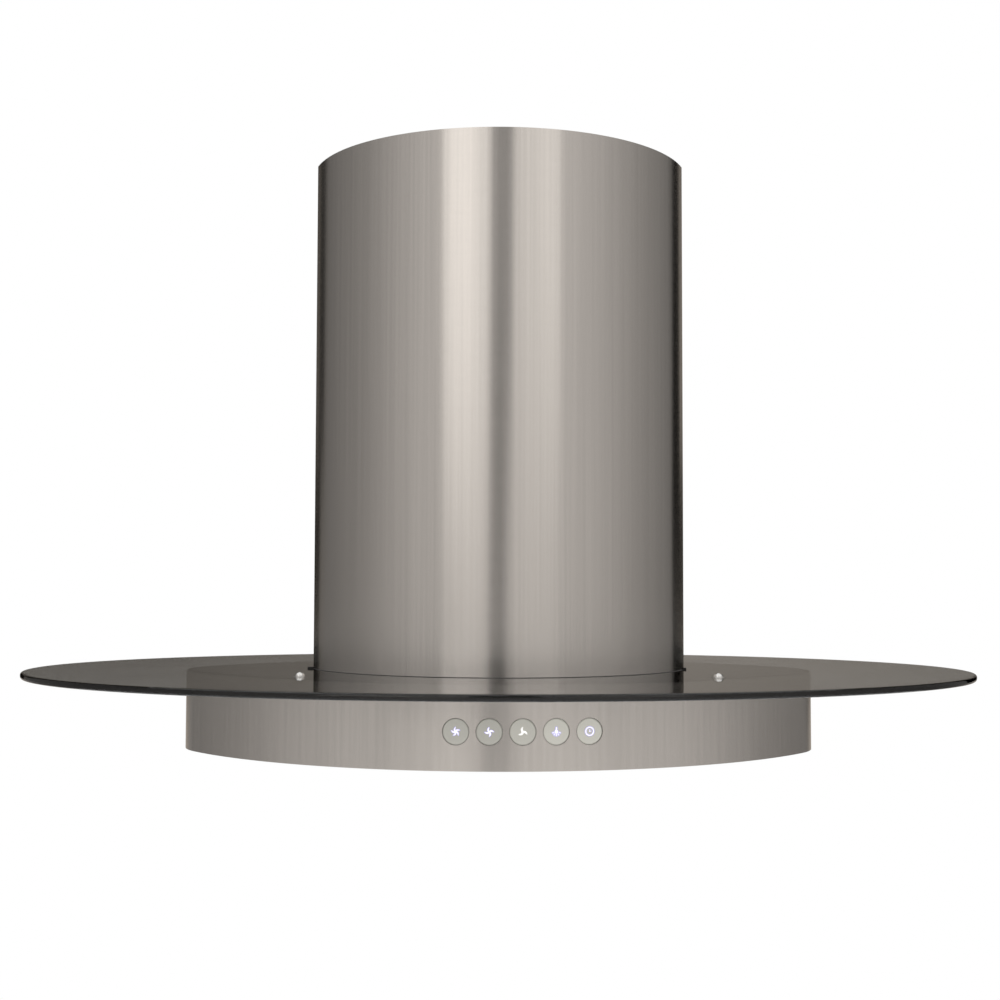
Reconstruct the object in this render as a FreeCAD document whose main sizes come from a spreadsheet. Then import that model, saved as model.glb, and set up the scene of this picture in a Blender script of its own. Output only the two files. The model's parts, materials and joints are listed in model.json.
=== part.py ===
import FreeCAD, Part
import math
import os
import Sketcher

# Curved glass range hood, hung from the ceiling. Millimetres.
# X runs along the hood's width, -Y is the front with the buttons, +Z is up.
# The origin is the centre of the ceiling plate's top face, where the hood is screwed up.

DOC = FreeCAD.newDocument("CurvedGlassHood")
SHEET = DOC.addObject("Spreadsheet::Sheet", "Sizes")
NODES = []
TINY = 1e-9
WIDE = 2000.0


# ---------------------------------------------------------------- sizes and formulas

class Size:
    """A number that remembers the formula it came from, for the document's expressions."""

    def __init__(self, value, text):
        self.value = float(value)
        self.text = text

    def __add__(self, other):
        other = as_size(other)
        return Size(self.value + other.value, f"({self.text} + {other.text})")

    def __radd__(self, other):
        return as_size(other) + self

    def __sub__(self, other):
        other = as_size(other)
        return Size(self.value - other.value, f"({self.text} - {other.text})")

    def __rsub__(self, other):
        return as_size(other) - self

    def __mul__(self, other):
        other = as_size(other)
        return Size(self.value * other.value, f"({self.text} * {other.text})")

    def __rmul__(self, other):
        return as_size(other) * self

    def __truediv__(self, other):
        other = as_size(other)
        return Size(self.value / other.value, f"({self.text} / {other.text})")

    def __neg__(self):
        return Size(-self.value, f"(-1 * {self.text})")


def as_size(value):
    if isinstance(value, Size):
        return value
    return Size(value, f"({float(value):.12g})")


def root(value):
    return Size(math.sqrt(value.value), f"sqrt({value.text})")


def write_row(alias, content, value, meaning):
    row = write_row.next_row
    write_row.next_row += 1
    SHEET.set(f"A{row}", alias)
    SHEET.set(f"B{row}", content)
    SHEET.setAlias(f"B{row}", alias)
    SHEET.set(f"C{row}", meaning)
    return Size(value, f"Sizes.{alias}")


write_row.next_row = 1


def size(alias, value, meaning):
    """A driving size."""
    return write_row(alias, f"{value:.12g}", value, meaning)


def derived(alias, formula, meaning):
    """A size worked out from others."""
    return write_row(alias, "=" + formula.text.replace("Sizes.", ""), formula.value, meaning)


# Glass canopy
glass_width = size("glass_width", 762, "overall width of the oval glass, 30 inches")
glass_depth = size("glass_depth", 528, "overall depth of the oval glass")
glass_thickness = size("glass_thickness", 5, "toughened glass")
glass_edge_round = size("glass_edge_round", 2, "rounding of the ground glass edge")
glass_screw_x = size("glass_screw_x", 157, "glass screws, sideways from the centre")
glass_screw_y = size("glass_screw_y", 97, "glass screws, front and back of the centre")
glass_screw_shift = size("glass_screw_shift", 8, "middle of the two front glass screws, right of the centre")
glass_screw_radius = size("glass_screw_radius", 2.5, "shank of a glass screw")
glass_head_radius = size("glass_head_radius", 5.2, "flange of a glass screw's domed head")
glass_head_height = size("glass_head_height", 3.4, "height of the domed head")
glass_washer_radius = size("glass_washer_radius", 5.2, "washers between the deck and the glass")
glass_hole_margin = size("glass_hole_margin", 1, "room round a screw in the glass")
glass_cut_inset = size("glass_cut_inset", 8, "glass that the chimney stands on, inside its outline")

# Chimney covers, two arcs meeting in side seams
chimney_width = size("chimney_width", 302, "outside width at the side seams")
chimney_depth = size("chimney_depth", 220, "outside depth at the middle")
chimney_height = size("chimney_height", 414.6, "height of the lower cover above its seal")
cover_sheet = size("cover_sheet", 1, "thickness of the chimney sheets")
cover_gap = size("cover_gap", 1.2, "room between the lower and the upper cover")
seam_gap = size("seam_gap", 0.2, "hairline between the front and the back sheets")
rim_gap = size("rim_gap", 0.5, "room between the covers and the ceiling")
seal_thickness = size("seal_thickness", 0.4, "chimney seal on the glass")
seal_inside = size("seal_inside", 3, "seal inside the chimney's outer face")
seal_tab_left = size("seal_tab_left", 4.5, "tab of the seal past the left seam")
seal_tab_right = size("seal_tab_right", 1.8, "tab of the seal past the right seam")
seal_tab_width = size("seal_tab_width", 5, "front to back width of a seal tab")
seal_tab_height = size("seal_tab_height", 1.4, "height of a seal tab outside the chimney")
seal_tab_play = size("seal_tab_play", 0.2, "room between a raised tab and the seam")
upper_cover_lift = size("upper_cover_lift", 15, "upper cover's lower edge above the glass at rest")

# Oval body under the glass
body_width = size("body_width", 506, "outside width of the oval body")
body_depth = size("body_depth", 320, "outside depth of the oval body")
body_end_radius = size("body_end_radius", 70, "rounding of the oval body's left and right ends")
fascia_height = size("fascia_height", 56.4, "height of the steel band with the buttons")
body_sheet = size("body_sheet", 1.2, "thickness of the body's sheets")
lip_width = size("lip_width", 9, "bent-in lower lip of the band")
top_lip_width = size("top_lip_width", 5, "bent-in upper lip of the band")
tray_screw_radius = size("tray_screw_radius", 1.5, "rivets that hold the tray to the band's lip")
tray_screw_x = size("tray_screw_x", 195, "outer rivets, sideways from the centre")
sheet_play = size("sheet_play", 0.1, "play between sheets that lie in each other")
pad_thickness = size("pad_thickness", 1, "foam seal between band and glass")
pad_width = size("pad_width", 4, "width of the foam seal")
pad_inset = size("pad_inset", 1, "foam seal inside the band's face")

# Ceiling frame and posts
plate_thickness = size("plate_thickness", 2.5, "ceiling plate")
plate_play = size("plate_play", 0.5, "room between ceiling plate and upper cover")
duct_hole_radius = size("duct_hole_radius", 79, "hole in the ceiling plate for the duct")
ceiling_hole_x = size("ceiling_hole_x", 116, "ceiling holes, sideways from the centre")
ceiling_hole_y = size("ceiling_hole_y", 18, "ceiling holes, front and back of the centre")
ceiling_hole_radius = size("ceiling_hole_radius", 4, "holes for the ceiling screws")
cable_hole_radius = size("cable_hole_radius", 7, "hole in the ceiling plate for the supply cable")
post_x = size("post_x", 104, "outer corner of the upper posts, sideways")
post_y = size("post_y", 50, "outer corner of the upper posts, front and back")
post_leg = size("post_leg", 20, "leg of the upper angle posts")
post_sheet = size("post_sheet", 2, "thickness of the angle posts")
post_play = size("post_play", 0.4, "play between upper and lower posts")
post_stop = size("post_stop", 9, "lower posts end this far under the ceiling plate")
post_lift = size("post_lift", 27, "upper posts end this far above the body's deck")
height_travel = size("height_travel", 250, "how far the hood can be let down")
lock_screw_radius = size("lock_screw_radius", 2, "shank of the screws that lock the posts")
lock_screw_lift = size("lock_screw_lift", 14, "lock screws above the upper posts' ends")
lock_head_radius = size("lock_head_radius", 4.5, "head and nut of a lock screw")
lock_head_height = size("lock_head_height", 3, "height of that head and nut")
lock_nut_play = size("lock_nut_play", 0.4, "room between the nut and the lower post")
slot_margin = size("slot_margin", 0.8, "room round a lock screw in its slot")
foot_screw_radius = size("foot_screw_radius", 2, "screws through the post feet")
foot_head_radius = size("foot_head_radius", 3.6, "heads of the post foot screws")
foot_head_height = size("foot_head_height", 2.2, "height of those heads")
screw_tail = size("screw_tail", 4, "screw that shows past the last sheet")

# Blower
box_half_width = size("box_half_width", 82, "half the width of the blower box")
box_inset = size("box_inset", 12, "blower box front and back inside the chimney's outline")
box_height = size("box_height", 236, "height of the blower box")
box_sheet = size("box_sheet", 1, "sheet of blower box and scroll")
box_flange = size("box_flange", 12, "feet of the blower box")
box_flange_length = size("box_flange_length", 44, "front to back length of those feet")
box_screw_inset = size("box_screw_inset", 7, "screws inside the ends of those feet")
air_hole_inset = size("air_hole_inset", 6, "deck that the blower box stands on, inside it")
scroll_radius = size("scroll_radius", 70, "outer radius of the scroll")
scroll_width = size("scroll_width", 96, "width of the scroll")
scroll_drop = size("scroll_drop", 110, "scroll axis under the blower box's top")
scroll_y = size("scroll_y", -12, "scroll axis in front of the centre")
throat_depth = size("throat_depth", 88, "front to back depth of the scroll's outlet throat")
inlet_radius = size("inlet_radius", 46, "air inlet in the scroll's sides")
inlet_ring_width = size("inlet_ring_width", 8, "width of the inlet rings")
inlet_ring_height = size("inlet_ring_height", 5, "how far the inlet rings stand out")
impeller_radius = size("impeller_radius", 55, "outer radius of the impeller")
impeller_width = size("impeller_width", 82, "width of the impeller")
blade_depth = size("blade_depth", 9, "radial depth of a blade")
blade_sheet = size("blade_sheet", 1, "thickness of a blade")
blade_edge = size("blade_edge", 1, "blades inside the impeller's outer radius")
blade_count = size("blade_count", 32, "blades round the impeller")
blade_heel_share = 0.25
blade_toe_share = 0.35
hub_disc = size("hub_disc", 2, "thickness of the impeller's disc and rings")
hub_radius = size("hub_radius", 10, "hub of the impeller")
hub_length = size("hub_length", 20, "length of the hub")
shaft_radius = size("shaft_radius", 4, "motor shaft")
running_fit = size("running_fit", 0.05, "radial play of shafts and pins in their bores")
motor_radius = size("motor_radius", 37, "motor can")
motor_length = size("motor_length", 46, "length of the motor can")
motor_gap = size("motor_gap", 3, "room between the motor and the impeller's hub")
motor_bore = size("motor_bore", 6, "bore through the motor between its bearings")
bearing_radius = size("bearing_radius", 11, "outer radius of the motor bearings")
bearing_width = size("bearing_width", 7, "width of the motor bearings")
bracket_sheet = size("bracket_sheet", 2, "motor bracket")
bracket_arm = size("bracket_arm", 12, "width of a bracket arm")
mount_circle = size("mount_circle", 60, "radius on which the rubber mounts sit")
mount_radius = size("mount_radius", 4.5, "radius of a rubber mount")

# Outlet and dampers
collar_radius = size("collar_radius", 75, "outside of the duct collar, for a 150 mm duct")
collar_sheet = size("collar_sheet", 1.2, "wall of the collar")
collar_height = size("collar_height", 50, "height of the collar")
collar_flange = size("collar_flange", 5, "width of the collar's flange")
damper_lift = size("damper_lift", 16, "damper pins above the blower box")
damper_pin_radius = size("damper_pin_radius", 1.5, "pins of the damper flaps")
damper_pin_x = size("damper_pin_x", 4, "damper pins, sideways from the centre")
damper_play = size("damper_play", 1, "room between a flap and the collar")
flap_sheet = size("flap_sheet", 1, "thickness of a flap")
knuckle_radius = size("knuckle_radius", 3, "outside of a flap's knuckle")
knuckle_length = size("knuckle_length", 40, "length of a flap's knuckle")

# Electrical parts
terminal_depth = size("terminal_depth", 24, "terminal box, out from the blower box")
terminal_width = size("terminal_width", 50, "terminal box, front to back")
terminal_height = size("terminal_height", 70, "terminal box, upright")
terminal_drop = size("terminal_drop", 70, "terminal box under the blower box's top")
terminal_wall = size("terminal_wall", 2, "wall and lid of the terminal box")
gland_radius = size("gland_radius", 8, "cable gland")
gland_bore = size("gland_bore", 4, "opening for an 8 mm supply cable")
gland_height = size("gland_height", 18, "height of the cable gland")
capacitor_radius = size("capacitor_radius", 15, "motor capacitor")
capacitor_length = size("capacitor_length", 58, "length of the capacitor")
clamp_sheet = size("clamp_sheet", 1.5, "band that holds the capacitor")
clamp_width = size("clamp_width", 14, "width of that band")
driver_length = size("driver_length", 46, "lamp driver, sideways")
driver_width = size("driver_width", 30, "lamp driver, front to back")
driver_height = size("driver_height", 20, "lamp driver, upright")
driver_inset = size("driver_inset", 66, "lamp driver's middle inside the body's left end")
driver_y = size("driver_y", 45.5, "lamp driver, behind the centre")

# Lamps
lamp_inset = size("lamp_inset", 50, "lamp centres inside the body's ends")
lamp_hole_radius = size("lamp_hole_radius", 28, "lamp holes in the underside")
lamp_play = size("lamp_play", 0.5, "room round a lamp in its hole")
bezel_radius = size("bezel_radius", 33, "outside of the lamp rings")
bezel_sheet = size("bezel_sheet", 1, "thickness of the lamp rings")
bezel_lip = size("bezel_lip", 1.5, "how far a lamp ring reaches over its glass")
bezel_bevel = size("bezel_bevel", 0.6, "bevel of the lamp rings")
lens_radius = size("lens_radius", 24, "lamp glasses")
lens_thickness = size("lens_thickness", 3, "thickness of the lamp glasses")
lamp_height = size("lamp_height", 24, "height of the lamp housings")
lamp_wall = size("lamp_wall", 1.5, "wall of the lamp housings")

# Grease filters
filter_lamp_gap = size("filter_lamp_gap", 17, "tray between a filter opening and a lamp ring")
filter_length = size("filter_length", 196, "filter opening, front to back")
filter_bar = size("filter_bar", 12, "bar between the two filter openings")
filter_play = size("filter_play", 0.4, "room round a filter in its opening")
filter_thickness = size("filter_thickness", 9, "thickness of a filter")
filter_border = size("filter_border", 8, "frame round a filter")
mesh_lift = size("mesh_lift", 4.6, "filter mesh above the filter's underside")
mesh_thickness = size("mesh_thickness", 2, "thickness of the filter mesh")
mesh_play = size("mesh_play", 0.1, "play of the mesh in its groove")
groove_inset = size("groove_inset", 2, "floor of the mesh groove inside the filter's edge")
mesh_slot = size("mesh_slot", 9, "width of a slot in the mesh")
mesh_web = size("mesh_web", 5, "web between two slots")
mesh_slots = size("mesh_slots", 12, "slots in a mesh")
filter_tab_length = size("filter_tab_length", 7, "hook at the back of a filter")
filter_tab_width = size("filter_tab_width", 14, "width of that hook")
filter_tab_x = size("filter_tab_x", 45, "hooks, sideways from the filter's middle")
filter_tab_lift = size("filter_tab_lift", 0.5, "room between hook and underside sheet")
filter_tab_sheet = size("filter_tab_sheet", 1.5, "thickness of a hook")
filter_open_angle = size("filter_open_angle", 80, "how far a filter swings down, degrees")
rail_width = size("rail_width", 6, "rail that carries the handle's ears")
rail_y = size("rail_y", -58, "centre of that rail, from the filter's middle")
handle_span = size("handle_span", 56, "width of the wire handle")
handle_reach = size("handle_reach", 24, "reach of the wire handle")
handle_radius = size("handle_radius", 1.4, "wire of the handle")
handle_lift = size("handle_lift", 2.2, "handle's wire above the filter's underside")
handle_play = size("handle_play", 0.5, "room between the handle's legs and its ears")
ear_lift = size("ear_lift", 0.3, "ears and pin ends inside the filter's faces")
ear_sheet = size("ear_sheet", 3, "thickness of a handle ear")
catch_width = size("catch_width", 16, "spring catch of a filter")
catch_height = size("catch_height", 9, "height of a spring catch")
catch_sheet = size("catch_sheet", 0.8, "spring catch sheet")
catch_foot = size("catch_foot", 11, "foot of a spring catch")
catch_x = size("catch_x", 42, "spring catches, sideways from the filter's middle")

# Buttons
button_pitch = size("button_pitch", 23.8, "spacing of the buttons")
button_group_x = size("button_group_x", 17.4, "middle button, right of the centre")
button_drop = size("button_drop", 28.5, "buttons under the band's upper edge")
button_hole_radius = size("button_hole_radius", 9.7, "button holes in the band")
button_play = size("button_play", 0.35, "room round a button")
button_thickness = size("button_thickness", 4, "button cap, front to back")
button_flange = size("button_flange", 1.3, "flange that keeps a button in, past its hole")
button_flange_sheet = size("button_flange_sheet", 1.2, "thickness of that flange")
button_flange_gap = size("button_flange_gap", 0.5, "room between flange and band")
button_recess = size("button_recess", 0.1, "button face behind the band's face")
button_travel = size("button_travel", 1.2, "how far a button goes in")
stem_radius = size("stem_radius", 2.5, "stem of a button")
stem_play = size("stem_play", 0.35, "room round a stem")
holder_start = size("holder_start", 6.5, "button holder behind the band's face")
holder_sheet = size("holder_sheet", 3, "thickness of the button holder")
holder_height = size("holder_height", 24, "height of the button holder")
holder_margin = size("holder_margin", 15, "holder past the outer buttons")
switch_start = size("switch_start", 10, "switches behind the band's face")
switch_length = size("switch_length", 7, "length of a switch")
switch_radius = size("switch_radius", 4.5, "radius of a switch")
stem_dip = size("stem_dip", 2.5, "stem inside its switch at rest")
board_sheet = size("board_sheet", 1.6, "control board")
board_gap = size("board_gap", 0.3, "room between the switches and the board")
BUTTON_NAMES = ("button_fan_high", "button_fan_medium", "button_fan_low", "button_lamp", "button_timer")

# Levels, down from the ceiling
glass_top = derived("glass_top", -(rim_gap + chimney_height + seal_thickness), "top of the glass")
glass_bottom = derived("glass_bottom", glass_top - glass_thickness, "underside of the glass")
band_top = derived("band_top", glass_bottom - pad_thickness, "upper edge of the steel band")
band_bottom = derived("band_bottom", band_top - fascia_height, "lower edge of the steel band")
deck_top = derived("deck_top", band_top - body_sheet, "top of the deck under the glass")
deck_bottom = derived("deck_bottom", deck_top - body_sheet, "underside of the deck")
tray_bottom = derived("tray_bottom", band_bottom + body_sheet, "underside of the bottom tray")
tray_top = derived("tray_top", tray_bottom + body_sheet, "upper side of the bottom tray")
box_top = derived("box_top", deck_top + box_height, "top of the blower box")
scroll_z = derived("scroll_z", box_top - scroll_drop, "height of the scroll axis")
post_end = derived("post_end", deck_top + post_lift, "lower ends of the upper posts")

# Outlines in plan
arc_depth = derived("arc_depth", chimney_depth / 2, "half the chimney's depth")
arc_half = derived("arc_half", chimney_width / 2, "half the chimney's width")
arc_radius = derived("arc_radius", (arc_half * arc_half + arc_depth * arc_depth) / (2 * arc_depth),
                     "radius of the chimney's front and back arcs")
arc_shift = derived("arc_shift", arc_radius - arc_depth, "arc centres, past the hood's centre")
body_half = derived("body_half", body_width / 2, "half the body's width")
body_reach = derived("body_reach", body_depth / 2, "half the body's depth")
end_shift = derived("end_shift", body_half - body_end_radius, "middle of an end rounding, sideways")
body_radius = derived("body_radius", (end_shift * end_shift + body_reach * body_reach
                                      - body_end_radius * body_end_radius)
                      / (2 * (body_reach - body_end_radius)), "radius of the body's front and back arcs")
body_shift = derived("body_shift", body_radius - body_reach, "those arcs' centres, past the hood's centre")
lamp_x = derived("lamp_x", body_half - lamp_inset, "lamps, sideways from the centre")
driver_x = derived("driver_x", -(body_half - driver_inset), "lamp driver, sideways from the centre")
filter_width = derived("filter_width", lamp_x - bezel_radius - filter_lamp_gap - filter_bar / 2,
                       "filter opening, sideways")
filter_x = derived("filter_x", (filter_bar + filter_width) / 2, "middle of a filter opening")
DOC.recompute()


# ---------------------------------------------------------------- shapes bound to the sheet

AXIS_TURNS = {
    "z": FreeCAD.Rotation(),
    "-z": FreeCAD.Rotation(FreeCAD.Vector(1, 0, 0), 180),
    "x": FreeCAD.Rotation(FreeCAD.Vector(0, 1, 0), 90),
    "-x": FreeCAD.Rotation(FreeCAD.Vector(0, 1, 0), -90),
    "y": FreeCAD.Rotation(FreeCAD.Vector(1, 0, 0), -90),
}


def turn_of(axis):
    """Rotation for a named axis; a rotation passes through as it is."""
    return AXIS_TURNS[axis] if isinstance(axis, str) else axis


def bind(item, path, value):
    item.setExpression(path, as_size(value).text)


def put(item, x=0, y=0, z=0, turn=None):
    if turn is not None:
        item.Placement = FreeCAD.Placement(FreeCAD.Vector(), turn)
    bind(item, "Placement.Base.x", x)
    bind(item, "Placement.Base.y", y)
    bind(item, "Placement.Base.z", z)
    return item


def block(name, x, y, z, length, width, height):
    """Box whose low corner is at x, y, z."""
    item = DOC.addObject("Part::Box", name)
    bind(item, "Length", length)
    bind(item, "Width", width)
    bind(item, "Height", height)
    return put(item, x, y, z)


def rod(name, radius, length, x=0, y=0, z=0, axis="z"):
    """Cylinder that starts at x, y, z and runs along axis."""
    item = DOC.addObject("Part::Cylinder", name)
    bind(item, "Radius", radius)
    bind(item, "Height", length)
    return put(item, x, y, z, turn_of(axis))


def fuse(name, *items):
    item = DOC.addObject("Part::MultiFuse", name)
    item.Shapes = list(items)
    return item


def cut(name, base, *tools):
    item = DOC.addObject("Part::Cut", name)
    item.Base = base
    item.Tool = tools[0] if len(tools) == 1 else fuse(name + "_tools", *tools)
    return item


def overlap(name, *items):
    item = DOC.addObject("Part::MultiCommon", name)
    item.Shapes = list(items)
    return item


def group(name, *items):
    item = DOC.addObject("Part::Compound", name)
    item.Links = list(items)
    return item


def lens(name, inset, z, height):
    """Upright prism on the chimney's outline, drawn in by inset all round."""
    front = rod(name + "_front_arc", arc_radius - inset, height, 0, arc_shift, z)
    back = rod(name + "_back_arc", arc_radius - inset, height, 0, -arc_shift, z)
    return overlap(name, front, back)


def raised(name, outline, height):
    """Upright prism on a closed level outline."""
    item = DOC.addObject("Part::Extrusion", name)
    item.Base = outline
    item.DirMode = "Custom"
    item.Dir = FreeCAD.Vector(0, 0, 1)
    item.Solid = True
    bind(item, "LengthFwd", height)
    return item


def oval(name, half_width, half_depth, z, height):
    """Upright prism on an ellipse."""
    rim = DOC.addObject("Part::Ellipse", name + "_rim")
    bind(rim, "MajorRadius", half_width)
    bind(rim, "MinorRadius", half_depth)
    put(rim, 0, 0, z)
    return raised(name, rim, height)


def body_oval(name, inset, z, height):
    """Upright prism on the body's outline, drawn in by inset: two wide arcs with rounded ends."""
    stretch = (body_radius - inset) / (body_radius - body_end_radius)
    x = end_shift * stretch
    y = body_shift * (stretch - 1)
    wide = body_radius - inset
    narrow = body_end_radius - inset
    outline = DOC.addObject("Sketcher::SketchObject", name + "_outline")
    arc_outline(outline, (((0, body_shift), (-x, -y), wide), ((end_shift, 0), (x, -y), narrow),
                          ((0, -body_shift), (x, y), wide), ((-end_shift, 0), (-x, y), narrow)))
    put(outline, 0, 0, z)
    return raised(name, outline, height)


def half_space(name, side, z, height):
    """Everything in front (side -1) or behind (side 1) of the side seams."""
    y = seam_gap / 2 if side > 0 else -(seam_gap / 2) - WIDE
    return block(name, -WIDE / 2, y, z, WIDE, WIDE, height)


def closed_outline(sketch, corners):
    """Straight-sided closed outline through (across, up) corners."""
    count = len(corners)
    points = [FreeCAD.Vector(as_size(across).value, as_size(up).value, 0) for across, up in corners]
    for index in range(count):
        sketch.addGeometry(Part.LineSegment(points[index], points[(index + 1) % count]), False)
    for index in range(count):
        sketch.addConstraint(Sketcher.Constraint("Coincident", index, 2, (index + 1) % count, 1))
    for index, corner in enumerate(corners):
        fix_point(sketch, index, 1, corner)


def fix_point(sketch, index, end, place):
    """Ties one end of a curve to its place in the sketch."""
    for kind, axis_line, value in (("DistanceX", -2, place[0]), ("DistanceY", -1, place[1])):
        value = as_size(value)
        if abs(value.value) < TINY:
            sketch.addConstraint(Sketcher.Constraint("PointOnObject", index, end, axis_line))
        else:
            number = sketch.addConstraint(Sketcher.Constraint(kind, -1, 1, index, end, value.value))
            bind(sketch, f"Constraints[{number}]", value)


def arc_outline(sketch, arcs):
    """Closed outline of arcs that run anticlockwise: each has its centre, its start and its radius."""
    count = len(arcs)
    starts = [FreeCAD.Vector(as_size(x).value, as_size(y).value, 0) for centre, (x, y), radius in arcs]
    for index, (centre, start, radius) in enumerate(arcs):
        middle = FreeCAD.Vector(as_size(centre[0]).value, as_size(centre[1]).value, 0)
        turns = [math.atan2(point.y - middle.y, point.x - middle.x)
                 for point in (starts[index], starts[(index + 1) % count])]
        if turns[1] < turns[0]:
            turns[1] += 2 * math.pi
        circle = Part.Circle(middle, FreeCAD.Vector(0, 0, 1), radius.value)
        sketch.addGeometry(Part.ArcOfCircle(circle, *turns), False)
    for index, (centre, start, radius) in enumerate(arcs):
        sketch.addConstraint(Sketcher.Constraint("Coincident", index, 2, (index + 1) % count, 1))
        fix_point(sketch, index, 1, start)
        number = sketch.addConstraint(Sketcher.Constraint("Radius", index, radius.value))
        bind(sketch, f"Constraints[{number}]", radius)


def plane_sketch(body, name, role):
    sketch = body.newObject("Sketcher::SketchObject", name)
    plane = [item for item in body.Origin.OriginFeatures if item.Role == role][0]
    sketch.AttachmentSupport = (plane, [""])
    sketch.MapMode = "FlatFace"
    return sketch


def turned(name, corners, x=0, y=0, z=0, axis="z"):
    """Turned piece: corners are (radius, height) pairs of its half section."""
    body = DOC.addObject("PartDesign::Body", name)
    sketch = plane_sketch(body, name + "_section", "XZ_Plane")
    closed_outline(sketch, corners)
    turn = body.newObject("PartDesign::Revolution", name + "_turn")
    turn.Profile = sketch
    turn.ReferenceAxis = (sketch, ["V_Axis"])
    turn.Angle = 360
    body.Tip = turn
    return put(body, x, y, z, turn_of(axis))


def node(item, label):
    item.Label = label
    NODES.append(item)
    return item


def screw(name, head_radius, head_height, shank_radius, shank_length, x, y, z, axis="z"):
    """Pan-head screw: the head's seat is at x, y, z and the head points along axis."""
    corners = [(0, -shank_length), (shank_radius, -shank_length), (shank_radius, 0), (head_radius, 0),
               (head_radius, head_height * 0.55), (head_radius * 0.7, head_height), (0, head_height)]
    return turned(name, corners, x, y, z, axis)


def corners_of(x, y):
    """The four places at plus and minus x and y, with a name for each."""
    names = {(-1, -1): "front_left", (1, -1): "front_right", (-1, 1): "back_left", (1, 1): "back_right"}
    return [(names[(sx, sy)], sx * x, sy * y, sx, sy) for sx, sy in names]


def from_to(sign, near, far):
    """Low end of a stretch from near to far, on the side given by sign."""
    return near if sign > 0 else -far


# ---------------------------------------------------------------- ceiling frame

def ceiling_plate():
    slab = lens("ceiling_slab", cover_sheet * 2 + cover_gap + plate_play, -plate_thickness, plate_thickness)
    through = plate_thickness * 3
    below = -2 * plate_thickness
    tools = [rod("ceiling_duct_hole", duct_hole_radius, through, 0, 0, below),
             rod("ceiling_cable_hole", cable_hole_radius, through, box_half_width + terminal_depth / 2, 0,
                 below)]
    for place, x, y, sx, sy in corners_of(ceiling_hole_x, ceiling_hole_y):
        tools.append(rod(f"ceiling_hole_{place}", ceiling_hole_radius, through, x, y, below))
    node(cut("ceiling_plate_cut", slab, *tools), "ceiling_plate")


def angle_post(name, sx, sy, corner_x, corner_y, leg_x, leg_y, low, height):
    """Upright angle: its outer corner is at corner_x, corner_y."""
    along = block(name + "_along", from_to(sx, corner_x - leg_x, corner_x),
                  from_to(sy, corner_y - post_sheet, corner_y), low, leg_x, post_sheet, height)
    across = block(name + "_across", from_to(sx, corner_x - post_sheet, corner_x),
                   from_to(sy, corner_y - leg_y, corner_y), low, post_sheet, leg_y, height)
    return along, across


def lock_screw_y():
    return post_y - post_leg / 2


def upper_posts():
    posts = []
    for place, x, y, sx, sy in corners_of(post_x, post_y):
        legs = angle_post(f"upper_post_{place}", sx, sy, post_x, post_y, post_leg, post_leg,
                          post_end, -plate_thickness - post_end)
        hole = rod(f"upper_post_hole_{place}", lock_screw_radius + 0.1, post_sheet * 3,
                   from_to(sx, post_x - 2 * post_sheet, post_x + post_sheet), sy * lock_screw_y(),
                   post_end + lock_screw_lift, "x")
        posts.append(cut(f"upper_post_{place}_cut", fuse(f"upper_post_{place}", *legs), hole))
    node(group("upper_posts_group", *posts), "upper_posts")


def lower_posts():
    posts = []
    corner_x = post_x - post_sheet - post_play
    corner_y = post_y - post_sheet - post_play
    leg = post_leg - post_sheet - post_play
    slot_radius = lock_screw_radius + slot_margin
    slot_low = post_end + lock_screw_lift - slot_radius
    for place, x, y, sx, sy in corners_of(post_x, post_y):
        name = f"lower_post_{place}"
        legs = angle_post(name, sx, sy, corner_x, corner_y, leg, leg, deck_top,
                          -plate_thickness - post_stop - deck_top)
        foot = block(name + "_foot", from_to(sx, corner_x - leg, corner_x),
                     from_to(sy, corner_y - leg, corner_y), deck_top, leg, leg, post_sheet)
        slot = block(name + "_slot", from_to(sx, corner_x - 2 * post_sheet, corner_x + post_sheet),
                     sy * lock_screw_y() - slot_radius, slot_low,
                     post_sheet * 3, slot_radius * 2, height_travel + slot_radius * 2)
        hole = rod(name + "_foot_hole", foot_screw_radius, post_sheet * 3,
                   sx * (corner_x - leg / 2 - post_sheet / 2), sy * (corner_y - leg / 2 - post_sheet / 2),
                   deck_top - post_sheet)
        posts.append(cut(name + "_cut", fuse(name, *legs, foot), slot, hole))
    node(group("lower_posts_group", *posts), "lower_posts")


def post_lock_screws():
    screws = []
    nut_face = post_x - 2 * post_sheet - post_play - lock_nut_play
    for place, x, y, sx, sy in corners_of(post_x, post_y):
        name = f"lock_screw_{place}"
        level = post_end + lock_screw_lift
        shank = post_x - nut_face + lock_head_height
        head = screw(name, lock_head_radius, lock_head_height, lock_screw_radius, shank,
                     sx * post_x, sy * lock_screw_y(), level, "x" if sx > 0 else "-x")
        nut = rod(name + "_nut", lock_head_radius, lock_head_height,
                  sx * nut_face, sy * lock_screw_y(), level, "-x" if sx > 0 else "x")
        screws.append(fuse(name + "_set", head, nut))
    node(group("lock_screws_group", *screws), "post_lock_screws")


def foot_screw_places():
    """The screw in the middle of each lower post's foot."""
    leg = post_leg - post_sheet - post_play
    inward = post_sheet + post_play + leg / 2 + post_sheet / 2
    return corners_of(post_x - inward, post_y - inward)


def box_screw_places():
    """The screws in the blower box's feet."""
    return corners_of(box_half_width + box_flange / 2, box_flange_length / 2 - box_screw_inset)


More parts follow.
